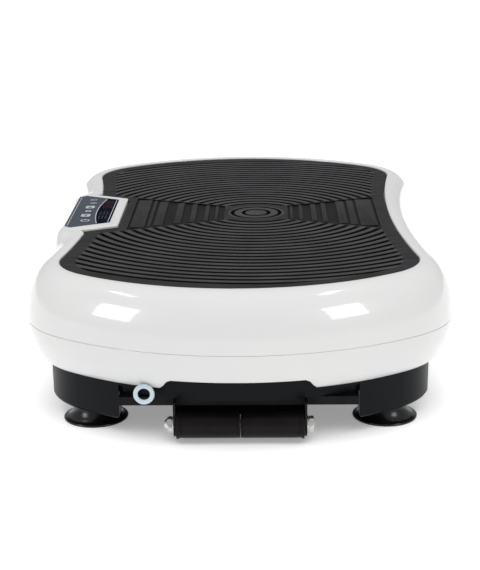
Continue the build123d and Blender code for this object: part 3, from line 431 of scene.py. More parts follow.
def outline(end_steps=40, corner_steps=32, side_steps=30):
    """Points of the mat's edge with their outward directions, once round."""
    quarter = []
    for i in range(end_steps):
        angle = END_ANGLE * i / end_steps
        away = Vector((math.sin(angle), math.cos(angle)))
        quarter.append((END_CENTRE + away * END_RADIUS, away))
    for i in range(corner_steps):
        angle = END_ANGLE + (SIDE_ANGLE - END_ANGLE) * i / corner_steps
        away = Vector((math.sin(angle), math.cos(angle)))
        quarter.append((CORNER + away * CORNER_RADIUS, away))
    reach = math.asin(CORNER.y / (SIDE_RADIUS + CORNER_RADIUS))
    for i in range(side_steps + 1):
        angle = reach * (1 - i / side_steps)
        away = Vector((math.cos(angle), -math.sin(angle)))
        quarter.append((SIDE_CENTRE - SIDE_RADIUS * away, away))
    points = []
    for number, (sx, sy) in enumerate(((1, 1), (1, -1), (-1, -1), (-1, 1))):
        part = quarter if number % 2 == 0 else quarter[::-1]
        points += [(Vector((p.x * sx, p.y * sy)), Vector((n.x * sx, n.y * sy)))
                   for p, n in part[:-1]]
    return points


OUTLINE = outline()


def sweep_outline(name, section, material):
    """A closed section of (offset, height) carried round the outline."""
    points = []
    for place, away in OUTLINE:
        for offset, height in section(place):
            spot = place + away * offset
            points.append((spot.x, spot.y, height))
    columns = len(section(OUTLINE[0][0]))
    return make_object(name, points, grid_faces(len(OUTLINE), columns), material)


# ------------------------------------------------------------------ white covers
def rim_arc(wall, steps, power=2.0):
    """The rim's superellipse from the seam to the crest, set in by wall."""
    reach, rise = RIM_REACH - wall, RIM_TOP - SEAM_Z - wall
    turns = [math.pi / 2 * i / steps for i in range(steps)]
    arc = [(RIM_CENTRE + reach * math.cos(t) ** (2 / power),
            SEAM_Z + rise * math.sin(t) ** (2 / power)) for t in turns]
    return arc + [(RIM_CENTRE, SEAM_Z + rise)]


def shoulder_share(place):
    """How square the rim is at a place: 1 beside the console, 0 away from it."""
    if place.x > 0:
        return 0.0
    return smooth((SHOULDER_END - abs(place.y)) / (SHOULDER_END - SHOULDER_HALF))


def rim_section(place):
    """The upper cover's closed section at a place on the outline."""
    share = shoulder_share(place)
    arcs = []
    for wall, steps in ((0, 30), (COVER_WALL, 12)):
        pairs = zip(rim_arc(wall, steps), rim_arc(wall, steps, SHOULDER_POWER))
        arcs.append([(p[0] + (q[0] - p[0]) * share, p[1] + (q[1] - p[1]) * share)
                     for p, q in pairs])
    outside, inside = arcs
    outside[0] = (outside[0][0] - SEAM_BEVEL, SEAM_Z + SEAM_HALF_GAP)
    outside.insert(1, (outside[0][0] + SEAM_BEVEL, SEAM_Z + SEAM_HALF_GAP + SEAM_BEVEL))
    inside[0] = (inside[0][0], SEAM_Z + SEAM_HALF_GAP)
    lip = [(3.4, RIM_TOP - 0.02), (1.9, RIM_TOP - 0.25), (LIP_GAP + 0.25, RIM_TOP - 0.8),
           (LIP_GAP, RIM_TOP - 1.4), (LIP_GAP, TRAY_TOP - COVER_WALL),
           (RIM_CENTRE, TRAY_TOP - COVER_WALL)]
    return outside + lip + list(reversed(inside))


def plan_cutter(plan, low, high):
    """A temporary prism that cuts a plan out of a piece."""
    return make_object("cutter", *prism(plan, low, high), "white_shell")


def make_upper_cover():
    """The rim and the tray that carries the mat, cut out under the console."""
    rim = sweep_outline("shell_upper", rim_section, "white_shell")
    for sign in (-1, 1):
        cut(rim, plan_cutter(ear_plan(sign, LIP_GAP), TRAY_TOP, RIM_TOP + 5))
    cut(rim, plan_cutter(bezel_plan(0.35), BEZEL_LOW, RIM_TOP + 5))
    finish_mesh(rim)
    edge = [place + away * (LIP_GAP + 0.4) for place, away in OUTLINE]
    plan = [(p.x, p.y) for p in edge]
    tray = make_object("shell_tray", *prism(plan, TRAY_TOP - COVER_WALL, TRAY_TOP), "white_shell")
    cut(tray, plan_cutter(bezel_plan(-COVER_WALL), 0, RIM_TOP))
    finish_mesh(tray)
    return rim, tray


def ear_plan(sign, grow=0.0):
    """Plan of the small corner beside the console, where the mat reaches further out."""
    tip = EAR_TIP + Vector((grow, grow))
    points = [tip, EAR_APEX - Vector((grow, 0)), EAR_BACK, Vector((EAR_BACK.x, tip.y))]
    return [(p.x, p.y * sign) for p in points]


def notch_height(x):
    """Lower edge of the skirt at an end, which rises over the notch."""
    if abs(x) >= NOTCH_LOW_HALF:
        return SKIRT_EDGE_Z
    share = (NOTCH_LOW_HALF - abs(x)) / (NOTCH_LOW_HALF - NOTCH_TOP_HALF)
    return NOTCH_LOW_Z + (NOTCH_TOP_Z - NOTCH_LOW_Z) * smooth(share)


def skirt_offset(height, wall):
    """How far out the skirt's ellipse is at a height."""
    share = (SEAM_Z - height) / (SKIRT_DEPTH - wall)
    return RIM_CENTRE + (RIM_REACH - wall) * math.sqrt(max(0.0, 1 - share * share))


def make_skirt():
    """Lower cover: from the seam down and in to the edge, notched at both ends."""
    steps = 18

    def section(place):
        edge = notch_height(place.x) if abs(place.y) > CORNER.y else SKIRT_EDGE_Z
        top = SEAM_Z - SEAM_HALF_GAP
        heights = [edge + (top - edge) * (i / steps) for i in range(steps + 1)]
        outside = [(skirt_offset(z, 0), z) for z in heights]
        inside = [(skirt_offset(z, SKIRT_WALL), z) for z in heights]
        outside[0] = (outside[0][0] - 0.5, edge)
        outside.insert(1, (skirt_offset(edge + 0.6, 0), edge + 0.6))
        outside[-1] = (outside[-1][0] - SEAM_BEVEL, top)
        outside.insert(-1, (skirt_offset(top - SEAM_BEVEL, 0), top - SEAM_BEVEL))
        return outside + list(reversed(inside))

    return sweep_outline("shell_skirt", section, "white_shell")


# ------------------------------------------------------------------ rubber mat
def inside_outline(x, y, inset):
    """Whether a point lies inside the mat's outline moved in by inset."""
    spot = Vector((abs(x), abs(y)))
    from_corner = spot - CORNER
    if from_corner.y * (CORNER.x - SIDE_CENTRE.x) < from_corner.x * (CORNER.y - SIDE_CENTRE.y):
        if from_corner.x * (CORNER.y - END_CENTRE.y) > from_corner.y * (CORNER.x - END_CENTRE.x):
            return from_corner.length < CORNER_RADIUS - inset
        return (spot - END_CENTRE).length < END_RADIUS - inset
    return (spot - SIDE_CENTRE).length > SIDE_RADIUS + inset


def band_half(x):
    """Half height of the smooth band across the mat's middle."""
    return BAND_HALF + BAND_SLOPE * max(0.0, abs(x - RING_CENTRE.x) - BAND_START)


def in_field(x, y, sign):
    """Whether a point lies in one of the two grooved fields."""
    if y * sign < band_half(x) or not inside_outline(x, y, BORDER):
        return False
    return x > CONSOLE_INNER or y * sign > console_half(x) + BORDER


def console_half(x, grow=0.0):
    """Half length of the console's trapezoid at x, grown by grow."""
    return CONSOLE_INNER_HALF + CONSOLE_SLOPE * (CONSOLE_INNER - x) + grow * CONSOLE_SLANT


def ring_ends(radius, sign):
    """The two angles from the Y axis at which a ring leaves the grooved field."""
    ends = []
    for side in (1, -1):
        low, high = 0.0, math.pi / 2
        for _ in range(40):
            middle = (low + high) / 2
            x = RING_CENTRE.x + side * radius * math.sin(middle)
            if in_field(x, sign * radius * math.cos(middle), sign):
                low = middle
            else:
                high = middle
        ends.append(side * low)
    return ends


def groove_depth(radius):
    """Depth of the concentric grooves at a radius."""
    nearest = round((radius - GROOVE_FIRST) / GROOVE_PITCH)
    away = abs(radius - GROOVE_FIRST - nearest * GROOVE_PITCH)
    return GROOVE_DEPTH * smooth(GROOVE_WIDTH / 2 - away)


def field_rings():
    """Radii that follow the groove profile from the first groove to the last."""
    half = GROOVE_WIDTH / 2
    steps = (-half, 0.35 - half, 0.65 - half, 1 - half, 0, half - 1, half - 0.65, half - 0.35, half)
    return [GROOVE_FIRST + number * GROOVE_PITCH + step
            for number in range(GROOVE_COUNT) for step in steps]


def make_field(points, faces, sign):
    """One grooved field, ring by ring, with rounded groove ends; returns its edge loop."""
    columns, first = 97, len(points)
    rings = field_rings()
    for radius in rings:
        right, left = ring_ends(radius, sign)
        length = radius * (right - left)
        for k in range(columns):
            share = k / (columns - 1)
            share = share - 0.12 * math.sin(2 * math.pi * share)
            angle = right + (left - right) * share
            near_end = min(share, 1 - share) * length
            fade = min(1.0, near_end / GROOVE_END)
            fade = math.sqrt(max(0.0, 1 - (1 - fade) ** 2))
            x = RING_CENTRE.x + radius * math.sin(angle)
            y = sign * radius * math.cos(angle)
            points.append((x, y, MAT_TOP - groove_depth(radius) * fade))
    rows = len(rings)
    faces += grid_faces(rows, columns, False, False, first)
    loop = [first + k for k in range(columns)]
    loop += [first + i * columns + columns - 1 for i in range(1, rows)]
    loop += [first + (rows - 1) * columns + k for k in range(columns - 2, -1, -1)]
    loop += [first + i * columns for i in range(rows - 2, 0, -1)]
    return loop


def make_centre(points, faces):
    """Closed rings round the pattern's centre; returns the edge loop."""
    columns, first = 96, len(points)
    profile = [(0.5, 0.0)]
    for ring in CENTRE_RINGS:
        for away, share in ((-2.1, 0), (-1.7, 0.3), (-1.2, 1), (1.2, 1), (1.7, 0.3), (2.1, 0)):
            profile.append((ring + away, share * GROOVE_DEPTH))
    profile.append((CENTRE_RINGS[-1] + 4.5, 0.0))
    for radius, depth in profile:
        for k in range(columns):
            angle = 2 * math.pi * k / columns
            points.append((RING_CENTRE.x + radius * math.cos(angle), radius * math.sin(angle),
                           MAT_TOP - depth))
    faces += grid_faces(len(profile), columns, False, True, first)
    faces.append(tuple(first + k for k in range(columns)))
    return [first + (len(profile) - 1) * columns + k for k in range(columns)]


def band_recess(side):
    """Plan of the sunken part of the band on one side of the rings."""
    near, far = BAND_NEAR, BAND_FAR[side]
    gap = 2.2
    steps = [near + (far - near) * k / 8 for k in range(9)]
    low = [(RING_CENTRE.x + side * d, -band_half(RING_CENTRE.x + side * d) + gap) for d in steps]
    return low + [(x, -y) for x, y in reversed(low)]


def make_recess(points, faces, side):
    """Floor and walls of one sunken band; returns the edge loop."""
    plan = band_recess(side)
    first, count = len(points), len(plan)
    points += [(x, y, MAT_TOP) for x, y in plan]
    points += [(x, y, MAT_TOP - BAND_DEPTH) for x, y in plan]
    faces += grid_faces(2, count, False, True, first)
    faces.append(tuple(first + count + i for i in range(count)))
    return [first + i for i in range(count)]


def add_bar(points, faces, x_low, x_high, y_half):
    """A raised bar across the band with a rounded top and blunt ends."""
    levels = [(0.0, MAT_TOP - BAND_DEPTH), (0.15, MAT_TOP - 0.5), (0.45, MAT_TOP - 0.12),
              (0.9, MAT_TOP)]
    first, corner_steps = len(points), 6
    radius = min(2.0, (x_high - x_low) / 2 - 0.2)
    for inset, height in levels:
        reach = max(0.05, radius - inset)
        for sx, sy, start in ((1, 1, 0), (-1, 1, 90), (-1, -1, 180), (1, -1, 270)):
            x = (x_high if sx > 0 else x_low) - sx * radius
            y = sy * (y_half - radius)
            for k in range(corner_steps + 1):
                angle = math.radians(start + 90 * k / corner_steps)
                points.append((x + reach * math.cos(angle), y + reach * math.sin(angle), height))
    count = 4 * (corner_steps + 1)
    faces += grid_faces(len(levels), count, False, True, first)
    faces.append(tuple(first + (len(levels) - 1) * count + i for i in range(count)))


def inside_polygon(x, y, polygon):
    """Whether a point lies in a closed polygon."""
    inside = False
    for i, (x1, y1) in enumerate(polygon):
        x2, y2 = polygon[i - 1]
        if (y1 > y) != (y2 > y) and x < (x2 - x1) * (y - y1) / (y2 - y1) + x1:
            inside = not inside
    return inside


def console_plan(grow):
    """Plan of the console's trapezoid, grown by grow and drawn out past the rim."""
    inner, outer = CONSOLE_INNER + grow, CONSOLE_OUTER - 20
    near, far = console_half(inner, grow), console_half(outer, grow)
    return [(inner, -near), (inner, near), (outer, far), (outer, -far)]


def fill_border(points, faces, holes):
    """The smooth top between the sunken parts and the edge; returns the edges of its outside."""
    hole_plans = [[points[i][:2] for i in loop] for loop in holes]
    solids = [[(p.x, p.y) for p, _ in OUTLINE], ear_plan(1), ear_plan(-1)]
    gaps = hole_plans + [console_plan(1.0)]
    coords, rings = [], []
    for plan in hole_plans + solids + gaps[-1:]:
        rings.append([len(coords) + i for i in range(len(plan))])
        coords += [Vector(p) for p in plan]
    edges = [(r[i], r[(i + 1) % len(r)]) for r in rings for i in range(len(r))]
    flat, _, triangles, sources = delaunay_2d_cdt(coords, edges, [], 0, 1e-5)[:4]
    first = len(points)
    points += [(p.x, p.y, MAT_TOP) for p in flat]
    uses = {}
    for triangle in triangles:
        x = sum(flat[i].x for i in triangle) / 3
        y = sum(flat[i].y for i in triangle) / 3
        if (any(inside_polygon(x, y, plan) for plan in solids)
                and not any(inside_polygon(x, y, plan) for plan in gaps)):
            corners = tuple(first + i for i in triangle)
            faces.append(corners)
            for i in range(3):
                key = tuple(sorted((corners[i], corners[(i + 1) % 3])))
                uses[key] = uses.get(key, 0) + 1
    place_of = {source: first + i for i, known in enumerate(sources) for source in known}
    hole_edges = set()
    for ring in rings[:len(holes)]:
        keys = [place_of[i] for i in ring]
        hole_edges |= {tuple(sorted((keys[i - 1], keys[i]))) for i in range(len(keys))}
    return [edge for edge, count in uses.items() if count == 1 and edge not in hole_edges]


def make_mat():
    """The standing mat: grooved fields, closed rings, a barred band and a smooth border."""
    points, faces = [], []
    holes = [make_field(points, faces, 1), make_field(points, faces, -1),
             make_centre(points, faces)]
    ridge_faces = len(faces)
    holes += [make_recess(points, faces, 1), make_recess(points, faces, -1)]
    for side in (1, -1):
        for near, far in BARS[side]:
            x1, x2 = sorted((RING_CENTRE.x + side * near, RING_CENTRE.x + side * far))
            add_bar(points, faces, x1, x2, min(band_half(x1), band_half(x2)) - BAR_END)
    under = {}
    for a, b in fill_border(points, faces, holes):
        for i in (a, b):
            if i not in under:
                under[i] = len(points)
                points.append((*points[i][:2], TRAY_TOP + 0.02))
        faces.append((a, b, under[b], under[a]))
    mat = make_object("mat_top", points, faces, "mat_rubber", 50.0)
    # the grooved fields and centre rings take the lighter copy of the rubber: painted sheen
    mat.data.materials.append(MATERIALS["mat_ridges_painted_sheen"])
    for face in mat.data.polygons[:ridge_faces]:
        face.material_index = 1
    soften_mat_edge(mat, {(round(points[i][0], 2), round(points[i][1], 2)) for i in under})
    return mat


def soften_mat_edge(mat, rim_points):
    """Drop the points that no face uses, and round the mat's outer top edge."""
    mesh = bmesh.new()
    mesh.from_mesh(mat.data)
    loose = [point for point in mesh.verts if not point.link_faces]
    bmesh.ops.delete(mesh, geom=loose, context="VERTS")
    edges = []
    for edge in mesh.edges:
        ends = [v.co / MM for v in edge.verts]
        if all(e.z > MAT_TOP - 0.01 and (round(e.x, 2), round(e.y, 2)) in rim_points
               for e in ends):
            normals = [face.normal.z for face in edge.link_faces]
            if len(normals) == 2 and min(abs(n) for n in normals) < 0.1:
                edges.append(edge)
    bmesh.ops.bevel(mesh, geom=edges, offset=1.0 * MM, segments=3, profile=0.5,
                    affect="EDGES", clamp_overlap=True)
    mesh.to_mesh(mat.data)
    mesh.free()
    mat.data.shade_smooth()
    mat.data.set_sharp_from_angle(angle=math.radians(50))


# ------------------------------------------------------------------ console
def rounded(plan, radius, steps=6):
    """A convex plan with every corner rounded."""
    points = []
    count = len(plan)
    for i in range(count):
        before, here, after = (Vector(plan[k % count]) for k in (i - 1, i, i + 1))
        back, forth = (before - here).normalized(), (after - here).normalized()
        half = math.acos(max(-1.0, min(1.0, back.dot(forth)))) / 2
        centre = here + (back + forth).normalized() * radius / math.sin(half)
        start = here + back * radius / math.tan(half) - centre
        end = here + forth * radius / math.tan(half) - centre
        sweep = start.angle_signed(end)
        for k in range(steps + 1):
            turn = Matrix.Rotation(-sweep * k / steps, 2)
            spot = centre + turn @ start
            points.append((spot.x, spot.y))
    return points


def bezel_plan(grow):
    """Plan of the bezel: the console's trapezoid with its outer corners cut."""
    inner = CONSOLE_INNER + grow
    half = [(inner, console_half(inner, grow)), (BEZEL_CUT, console_half(BEZEL_CUT, grow)),
            (BEZEL_OUTER - grow, BEZEL_OUTER_HALF + grow)]
    return half + [(x, -y) for x, y in reversed(half)]


def panel_plan(inset):
    """Plan of the printed sheet, set in by inset."""
    inner_x, outer_x = PANEL_INNER - inset, PANEL_OUTER + inset
    inner, wide = PANEL_INNER_HALF - inset, PANEL_OUTER_HALF - inset
    half = [(inner_x, inner), (outer_x + PANEL_CUT, wide), (outer_x, wide - PANEL_CUT)]
    points = half + [(x, -y) for x, y in reversed(half)]
    return [(x, y + PANEL_SHIFT) for x, y in points]


def arc_disc(gap):
    """Plan of the display's side of the console, bounded by the window's arc."""
    centre, reach = WINDOW_ARC_X + WINDOW_ARC_R, 24
    arc = circle(centre, PANEL_SHIFT, WINDOW_ARC_R - gap, 180 - reach, 180 + reach, 60)
    return [(WINDOW_FAR_X, arc[-1][1]), (WINDOW_FAR_X, arc[0][1])] + arc


def make_bezel():
    """White console frame with rounded edges and a shallow seat for the sheet."""
    plan = rounded(bezel_plan(0), 3.0)
    bezel = make_object("console_frame", *prism(plan, BEZEL_LOW, CONSOLE_TOP), "white_shell")
    bevel(bezel, 1.4, 4)
    cut(bezel, plan_cutter(panel_plan(-0.25), PANEL_LOW.z - 0.02, CONSOLE_TOP + 5))
    cut(bezel, plan_cutter(panel_plan(4), 0, CONSOLE_TOP + 5))
    bevel(bezel, 0.25, 2)
    return bezel


def panel_piece(name, material, window):
    """The display window or the key field: the sheet on one side of the arc."""
    piece = make_object(name, *prism(panel_plan(0), PANEL_LOW.z, PANEL_TOP), material)
    disc = plan_cutter(arc_disc(0.05 if window else -0.05), 0, 200)
    cut(piece, disc, "INTERSECT" if window else "DIFFERENCE")
    finish_mesh(piece)
    return piece


def make_key_field():
    """The printed key field with a hole for each key."""
    field = panel_piece("panel_keys", "panel_blue", False)
    for key in KEYS:
        low, high = cad_box("key_" + key)
        middle, size = (low + high) / 2, high - low
        if key in LONG_KEYS:
            hole = rectangle(middle.x, middle.y, size.x + 0.4, size.y + 0.4, 2.2)
        else:
            hole = circle(middle.x, middle.y, size.x / 2 + 0.2, steps=48)[:-1]
        cut(field, plan_cutter(hole, 0, 200))
    finish_mesh(field)
    return field


def strip(points, faces, path, width, low, high):
    """A thin raised line of constant width along an open path."""
    first = len(points)
    for i, here in enumerate(path):
        before = Vector(path[max(0, i - 1)])
        after = Vector(path[min(len(path) - 1, i + 1)])
        along = (after - before).normalized()
        across = Vector((-along.y, along.x)) * width / 2
        for side, height in ((1, low), (1, high), (-1, high), (-1, low)):
            points.append((here[0] + side * across.x, here[1] + side * across.y, height))
    faces += grid_faces(len(path), 4, False, True, first)
    for end in (first, first + 4 * (len(path) - 1)):
        faces.append((end, end + 1, end + 2, end + 3))


def plate(points, faces, plan, low, high):
    """A thin printed shape."""
    first = len(points)
    new_points, new_faces = prism(plan, low, high)
    points += new_points
    faces += [tuple(first + i for i in face) for face in new_faces]


def circle(x, y, radius, start=0.0, end=360.0, steps=24):
    """Points on an arc given in degrees."""
    turns = [math.radians(start + (end - start) * k / steps) for k in range(steps + 1)]
    return [(x + radius * math.cos(t), y + radius * math.sin(t)) for t in turns]


def rectangle(x, y, long_x, long_y, radius=0.8):
    """A rounded rectangle about a point."""
    a, b = long_x / 2, long_y / 2
    return rounded([(x + a, y - b), (x + a, y + b), (x - a, y + b), (x - a, y - b)], radius, 4)



def make_panel_lines():
    """Pale lines round the sheet and along the window's arc."""
    points, faces = [], []
    corners = panel_plan(2.2)
    for first, last in ((0, 5), (2, 3)):
        strip(points, faces, [corners[first], corners[last]], 0.7, PRINT_LOW, PRINT_HIGH)
    arc = [p for p in arc_disc(0)[2:] if inside_polygon(*p, panel_plan(1.5))]
    strip(points, faces, arc, 0.9, PRINT_LOW, PRINT_HIGH)
    return make_object("panel_lines", points, faces, "print_pale")


def add_digit(points, faces, x, y):
    """A digit with all seven segments lit; its height runs along X."""
    half_tall, half_wide, line, gap = 4.5, 2.5, 1.0, 1.1
    across = [(dx, 0, line, 2 * half_wide - gap) for dx in (-half_tall, 0, half_tall)]
    upright = [(dx, dy, half_tall - gap, line)
               for dx in (-half_tall / 2, half_tall / 2) for dy in (-half_wide, half_wide)]
    for dx, dy, long_x, long_y in across + upright:
        segment = rectangle(x + dx, y + dy, long_x, long_y, 0.3)
        plate(points, faces, segment, PRINT_LOW, PRINT_HIGH)


def make_display_signs():
    """Dim red digits behind the window, and rows of small dots."""
    middle_x = -147.5
    points, faces = [], []
    for y in (18.5, 26.5, 39.0, 47.0):
        add_digit(points, faces, middle_x, y)
    red = make_object("display_digits", points, faces, "digit_red")
    points, faces = [], []
    for y in (-4.0, -11.5, -22.0, -29.5):
        for x in (-151.5, -148.0, -144.5):
            plate(points, faces, rectangle(x, y, 1.2, 4.2, 0.4), PRINT_LOW, PRINT_HIGH)
    for y in (5.0, 33.0):
        plate(points, faces, circle(middle_x, y, 0.7)[:-1], PRINT_LOW, PRINT_HIGH)
    return red, make_object("display_marks", points, faces, "print_dim")


def make_key_signs():
    """Printed signs by key: pale plates with dark arrows, rings and bars."""
    signs = []
    for key in KEYS:
        low, high = cad_box("key_" + key)
        x, y = (low.x + high.x) / 2, (low.y + high.y) / 2
        base, top = high.z - 0.05, high.z + 0.05
        points, faces, arrow = [], [], []
        if key in LONG_KEYS:
            side = 1 if key == "speed_up" else -1
            plate(points, faces, rectangle(x, y, 9.6, 11.6, 1.6), base, top)
            arrow = [(x - 2.6, y - 2.6 * side), (x + 2.6, y - 2.6 * side), (x, y + 3.0 * side)]
        elif key == "start":
            plate(points, faces, circle(x, y, 3.5)[:-1], base, top)
            arrow = [(x - 1.6, y - 1.6), (x + 1.6, y - 1.6), (x, y + 2.0)]
        elif key == "power":
            strip(points, faces, circle(x, y, 4.2, 110, 430), 1.3, base, top)
            plate(points, faces, rectangle(x - 0.1, y + 4.0, 1.3, 4.4, 0.3), base, top)
        elif key == "mode":
            strip(points, faces, circle(x, y, 3.2), 0.8, base, top)
            plate(points, faces, circle(x, y, 1.2)[:-1], base, top)
        else:
            strip(points, faces, circle(x, y, 3.3), 0.7, base, top)
            strip(points, faces, [(x - 2.2, y), (x, y), (x, y + 1.8)], 0.7, base, top)
        if arrow:
            prisms = prism(arrow, base, top + 0.04)
            signs.append((key, make_object("sign_arrow", *prisms, "print_dim")))
        signs.append((key, make_object("sign_" + key, points, faces, "print_pale")))
    return signs


# ------------------------------------------------------------------ feet, roller, eyelets
def make_feet():
    """Suction feet: a neck, a flared bell with a rolled edge, and a hollow underneath."""
    high = cad_box("suction_feet")[1]
    rim, neck, bell_low, bell_high, steps = 30.5, 20.0, 2.4, high.z - 1.2, 15
    profile = [(0.0, high.z), (neck - 1.4, high.z), (neck - 0.4, high.z - 0.3), (neck, bell_high)]
    for k in range(1, steps):
        share = k / steps
        profile.append((neck + (rim - 0.9 - neck) * share ** 1.35,
                        bell_low + (bell_high - bell_low) * (1 - share) ** 1.9))
    profile += [(rim - 0.35, 2.1), (rim, 1.6), (rim, 0.8), (rim - 0.3, 0.25), (rim - 0.8, 0.0),
                (rim - 2.5, 0.0), (rim - 3.2, 0.35), (24.0, 2.0), (20.0, 3.0), (10.0, 3.5),
                (0.0, 3.6)]
    return [lathe("foot", profile, "cup_rubber", (sx * (high.x - rim), sy * (high.y - rim), 0),
                  segments=96) for sx in (-1, 1) for sy in (-1, 1)]


def make_roller(name, outward):
    """One half of the roller: a sleeve with rounded ends, a flange and turned grooves."""
    low, high = cad_box(name)
    flange, bore, length = 0.8, 4.05, high.x - low.x
    radius = (high.z - low.z) / 2 - flange
    middle = (low + high) / 2
    profile = [(bore, 0.0), (radius - 0.5, 0.0), (radius - 0.15, 0.15), (radius, 0.5)]
    for start in (1.6, length - 5.2):
        profile += [(radius, start), (radius - 0.35, start + 0.25), (radius - 0.35, start + 0.65),
                    (radius, start + 0.9)]
    profile += [(radius, length - 2.9), (radius + 0.3, length - 2.55), (radius + 0.7, length - 2.3),
                (radius + flange, length - 2.0), (radius + flange, length - 0.5),
                (radius + 0.5, length - 0.15), (radius + 0.1, length), (bore, length)]
    profile = [(r, h * outward) for r, h in profile]
    place = (low.x if outward > 0 else high.x, middle.y, middle.z)
    return lathe(name + "_sleeve", profile, "roller_black", place, "X", 96)


def make_hexagon(name, x_face, x_far, centre, tip):
    """A chamfered hexagon along X; tip is how far the rounded bolt end stands out of it."""
    apothem, columns = 6.5, 96
    outward = 1 if x_far > x_face else -1
    length = abs(x_far - x_face)
    levels = [(0.0, 0.0), (0.0, 5.9), (0.35, 6.9), (0.9, 7.6)]
    if tip:
        levels += [(length - 3.4, 7.6), (length - 2.2, 6.6), (length - 1.0, 5.4), (length, 4.4),
                   (length, 3.6), (length + tip, 3.2), (length + tip, 0.0)]
    else:
        levels += [(length - 1.1, 7.6), (length - 0.5, 6.9), (length, 5.9), (length, 4.2),
                   (length - 0.35, 3.7), (length - 0.35, 0.0)]
    points = []
    for along, limit in levels:
        for k in range(columns):
            angle = 2 * math.pi * k / columns
            side = apothem / math.cos((angle + math.pi / 6) % (math.pi / 3) - math.pi / 6)
            radius = min(limit, side)
            points.append((x_face + outward * along, centre.y + radius * math.sin(angle),
                           centre.z + radius * math.cos(angle)))
    faces = grid_faces(len(levels), columns, close_rows=False)
    return make_object(name, points, faces, "zinc", 25.0)


def make_axle(x_low, x_high, centre):
    """The axle bolt's shank, threaded at the nut's end."""
    pitch, turns, length, root, crest = 1.25, 14, x_high - x_low, 3.45, 3.98
    profile = [(0.0, 0.0)]
    for k in range(turns):
        profile += [(root, k * pitch), (crest, (k + 0.5) * pitch)]
    profile += [(root, turns * pitch), (crest, turns * pitch + 0.6), (crest, length), (0.0, length)]
    return lathe("axle", profile, "zinc", (x_low, centre.y, centre.z), "X", 64)


def make_washers():
    """Two washers with softened edges."""
    low, high = cad_box("roller_washers")
    centre, thick = (low + high) / 2, 1.2
    profile = [(4.1, 0.15), (4.3, 0.0), (7.7, 0.0), (8.0, 0.25), (8.0, thick - 0.25), (7.7, thick),
               (4.3, thick), (4.1, thick - 0.15)]
    return [lathe("washer", profile, "zinc", (x, centre.y, centre.z), "X", 64)
            for x in (low.x, high.x - thick)]


def make_eyelet(sign):
    """A band eyelet: a flat ring with rounded edges, its tang through the skirt and a hook."""
    low, high = cad_box("band_eyelets")
    x, outer = (low.x + high.x) / 2, (high.x - low.x) / 2
    z, thick, hole, steps = low.z + outer, 3.0, 5.5, 28
    outer_y = low.y if sign < 0 else high.y
    middle, reach = (outer + hole) / 2, (outer - hole) / 2
    profile = []
    for k in range(steps):
        angle = 2 * math.pi * k / steps
        c, s = math.cos(angle), math.sin(angle)
        profile.append((middle + reach * math.copysign(abs(c) ** 0.6, c),
                        thick / 2 * math.copysign(abs(s) ** 0.6, s)))
    place = (x, outer_y - sign * thick / 2, z)
    pieces = [lathe("eyelet", profile, "eyelet_grey", place, "Y", 72)]
    for name, depth, long_y, radius, top in (("eyelet_tang", 7.6, 11.6, 0.8, 8.9),
                                             ("eyelet_hook", 12.2, 2.5, 0.6, 19.9)):
        plan = rectangle(x, outer_y - sign * depth, 6.0, long_y, radius)
        pieces.append(make_object(name, *prism(plan, z + 6.6, z + top), "eyelet_grey"))
    return pieces


# ------------------------------------------------------------------ camera, light, floor
CAMERA_PLACE = (0.0259, -1.5217, 0.507)
CAMERA_PITCH = 0.284594
CAMERA_YAW = 0.0191413
CAMERA_ROLL = -0.0112347
CAMERA_LENS = 91.73
# the point each softbox faces, its azimuth, elevation and size
SOFTBOXES = {
    "front_left": ((-0.107, -0.297, 0.125), -56, 22, (0.72, 0.80)),
    "front_right": ((0.093, -0.302, 0.125), 48, 27, (0.66, 0.80)),
    "top_left": ((-0.10, -0.29, 0.14), -84, 57, (0.55, 0.16)),
    "top_right": ((0.08, -0.295, 0.14), 96, 69, (0.60, 0.16)),
}
SOFTBOX_DISTANCE = 2.2
SOFTBOX_RADIANCE = 8.0


def make_camera():
    """Camera at standing height, looking down along the plate's long way."""
    data = bpy.data.cameras.new("camera")
    data.sensor_width = 36.0
    data.lens = CAMERA_LENS
    data.clip_end = 50.0
    camera = bpy.data.objects.new("camera", data)
    bpy.context.scene.collection.objects.link(camera)
    camera.rotation_euler = (Matrix.Rotation(CAMERA_YAW, 3, "Z")
                             @ Matrix.Rotation(math.pi / 2 - CAMERA_PITCH, 3, "X")
                             @ Matrix.Rotation(CAMERA_ROLL, 3, "Z")).to_euler()
    camera.location = CAMERA_PLACE
    bpy.context.scene.camera = camera


def add_softbox(name, target, azimuth, elevation, size):
    """A rectangular light that faces a point; angles are degrees from -Y and from the floor."""
    turn, lift = math.radians(azimuth), math.radians(elevation)
    away = Vector((math.sin(turn) * math.cos(lift), -math.cos(turn) * math.cos(lift),
                   math.sin(lift)))
    data = bpy.data.lights.new(name, "AREA")
    data.shape = "RECTANGLE"
    data.size, data.size_y = size
    data.energy = SOFTBOX_RADIANCE * math.pi * size[0] * size[1]
    light = bpy.data.objects.new(name, data)
    light.location = Vector(target) + away * SOFTBOX_DISTANCE
    light.rotation_euler = away.to_track_quat("Z", "Y").to_euler()
    light.visible_diffuse = False
    bpy.context.scene.collection.objects.link(light)


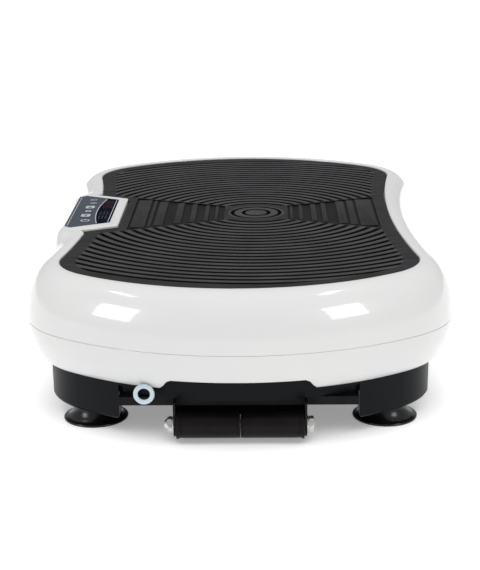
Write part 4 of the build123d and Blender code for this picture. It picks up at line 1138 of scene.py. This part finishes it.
def make_light():
    """White studio: pale world, broad light from above, softboxes that show as highlights."""
    scene = bpy.context.scene
    scene.world = bpy.data.worlds.new("studio")
    scene.world.use_nodes = True
    background = scene.world.node_tree.nodes["Background"]
    background.inputs["Color"].default_value = (1, 1, 1, 1)
    background.inputs["Strength"].default_value = 0.53
    scene.view_settings.view_transform = "Standard"
    data = bpy.data.lights.new("overhead", "SUN")
    data.energy = 2.25
    data.angle = math.radians(70)
    sun = bpy.data.objects.new("overhead", data)
    sun.visible_glossy = False
    sun.rotation_euler = (math.radians(12), 0, 0)
    scene.collection.objects.link(sun)
    for name, values in SOFTBOXES.items():
        add_softbox(name, *values)
    side = 9e3
    plan = [(-side, -side), (side, -side), (side, side), (-side, side)]
    make_object("studio_floor", *prism(plan, -20, -0.05), "floor")


make_camera()
make_light()


def place_piece(piece, body, slot, *replaced):
    """Attach a piece to its body and hide the CAD nodes it stands for; slot is not used."""
    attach(piece, body)
    if replaced:
        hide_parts(*replaced)


rim, tray = make_upper_cover()
place_piece(rim, "platform", "white_shell", "top_cover")
place_piece(tray, "platform", "white_shell")
place_piece(make_skirt(), "platform", "white_shell", "lower_cover")
place_piece(make_mat(), "platform", "mat_rubber", "mat")
place_piece(make_bezel(), "platform", "white_shell", "console_bezel")
place_piece(panel_piece("panel_window", "window_dark", True), "platform", "window_dark",
            "display_window")
place_piece(make_key_field(), "platform", "panel_blue", "key_sheet")
place_piece(make_panel_lines(), "platform", "panel_blue")
digits, marks = make_display_signs()
place_piece(digits, "platform", "window_dark")
place_piece(marks, "platform", "window_dark")
for key, sign in make_key_signs():
    place_piece(sign, "key_" + key + "_body", "key_film")
for foot in make_feet():
    place_piece(foot, "base", "cup_rubber", "suction_feet")
place_piece(make_roller("roller_left", -1), "roller_l", "roller_black", "roller_left")
place_piece(make_roller("roller_right", 1), "roller_r", "roller_black", "roller_right")
nut_low, nut_high = cad_box("roller_nut")
nut_centre = (nut_low + nut_high) / 2
axle_low, axle_high = cad_box("roller_axle")
nut = make_hexagon("nut", nut_high.x, nut_low.x, nut_centre, nut_low.x - axle_low.x)
place_piece(nut, "base", "zinc", "roller_nut")
head = make_hexagon("bolt_head", axle_high.x - 5.3, axle_high.x, nut_centre, 0)
place_piece(head, "base", "zinc", "roller_axle")
axle = make_axle(nut_high.x - 0.2, axle_high.x - 5.1, nut_centre)
place_piece(axle, "base", "zinc", "roller_axle")
for washer in make_washers():
    place_piece(washer, "base", "zinc", "roller_washers")
for sign in (-1, 1):
    for piece in make_eyelet(sign):
        place_piece(piece, "platform", "eyelet_grey", "band_eyelets")
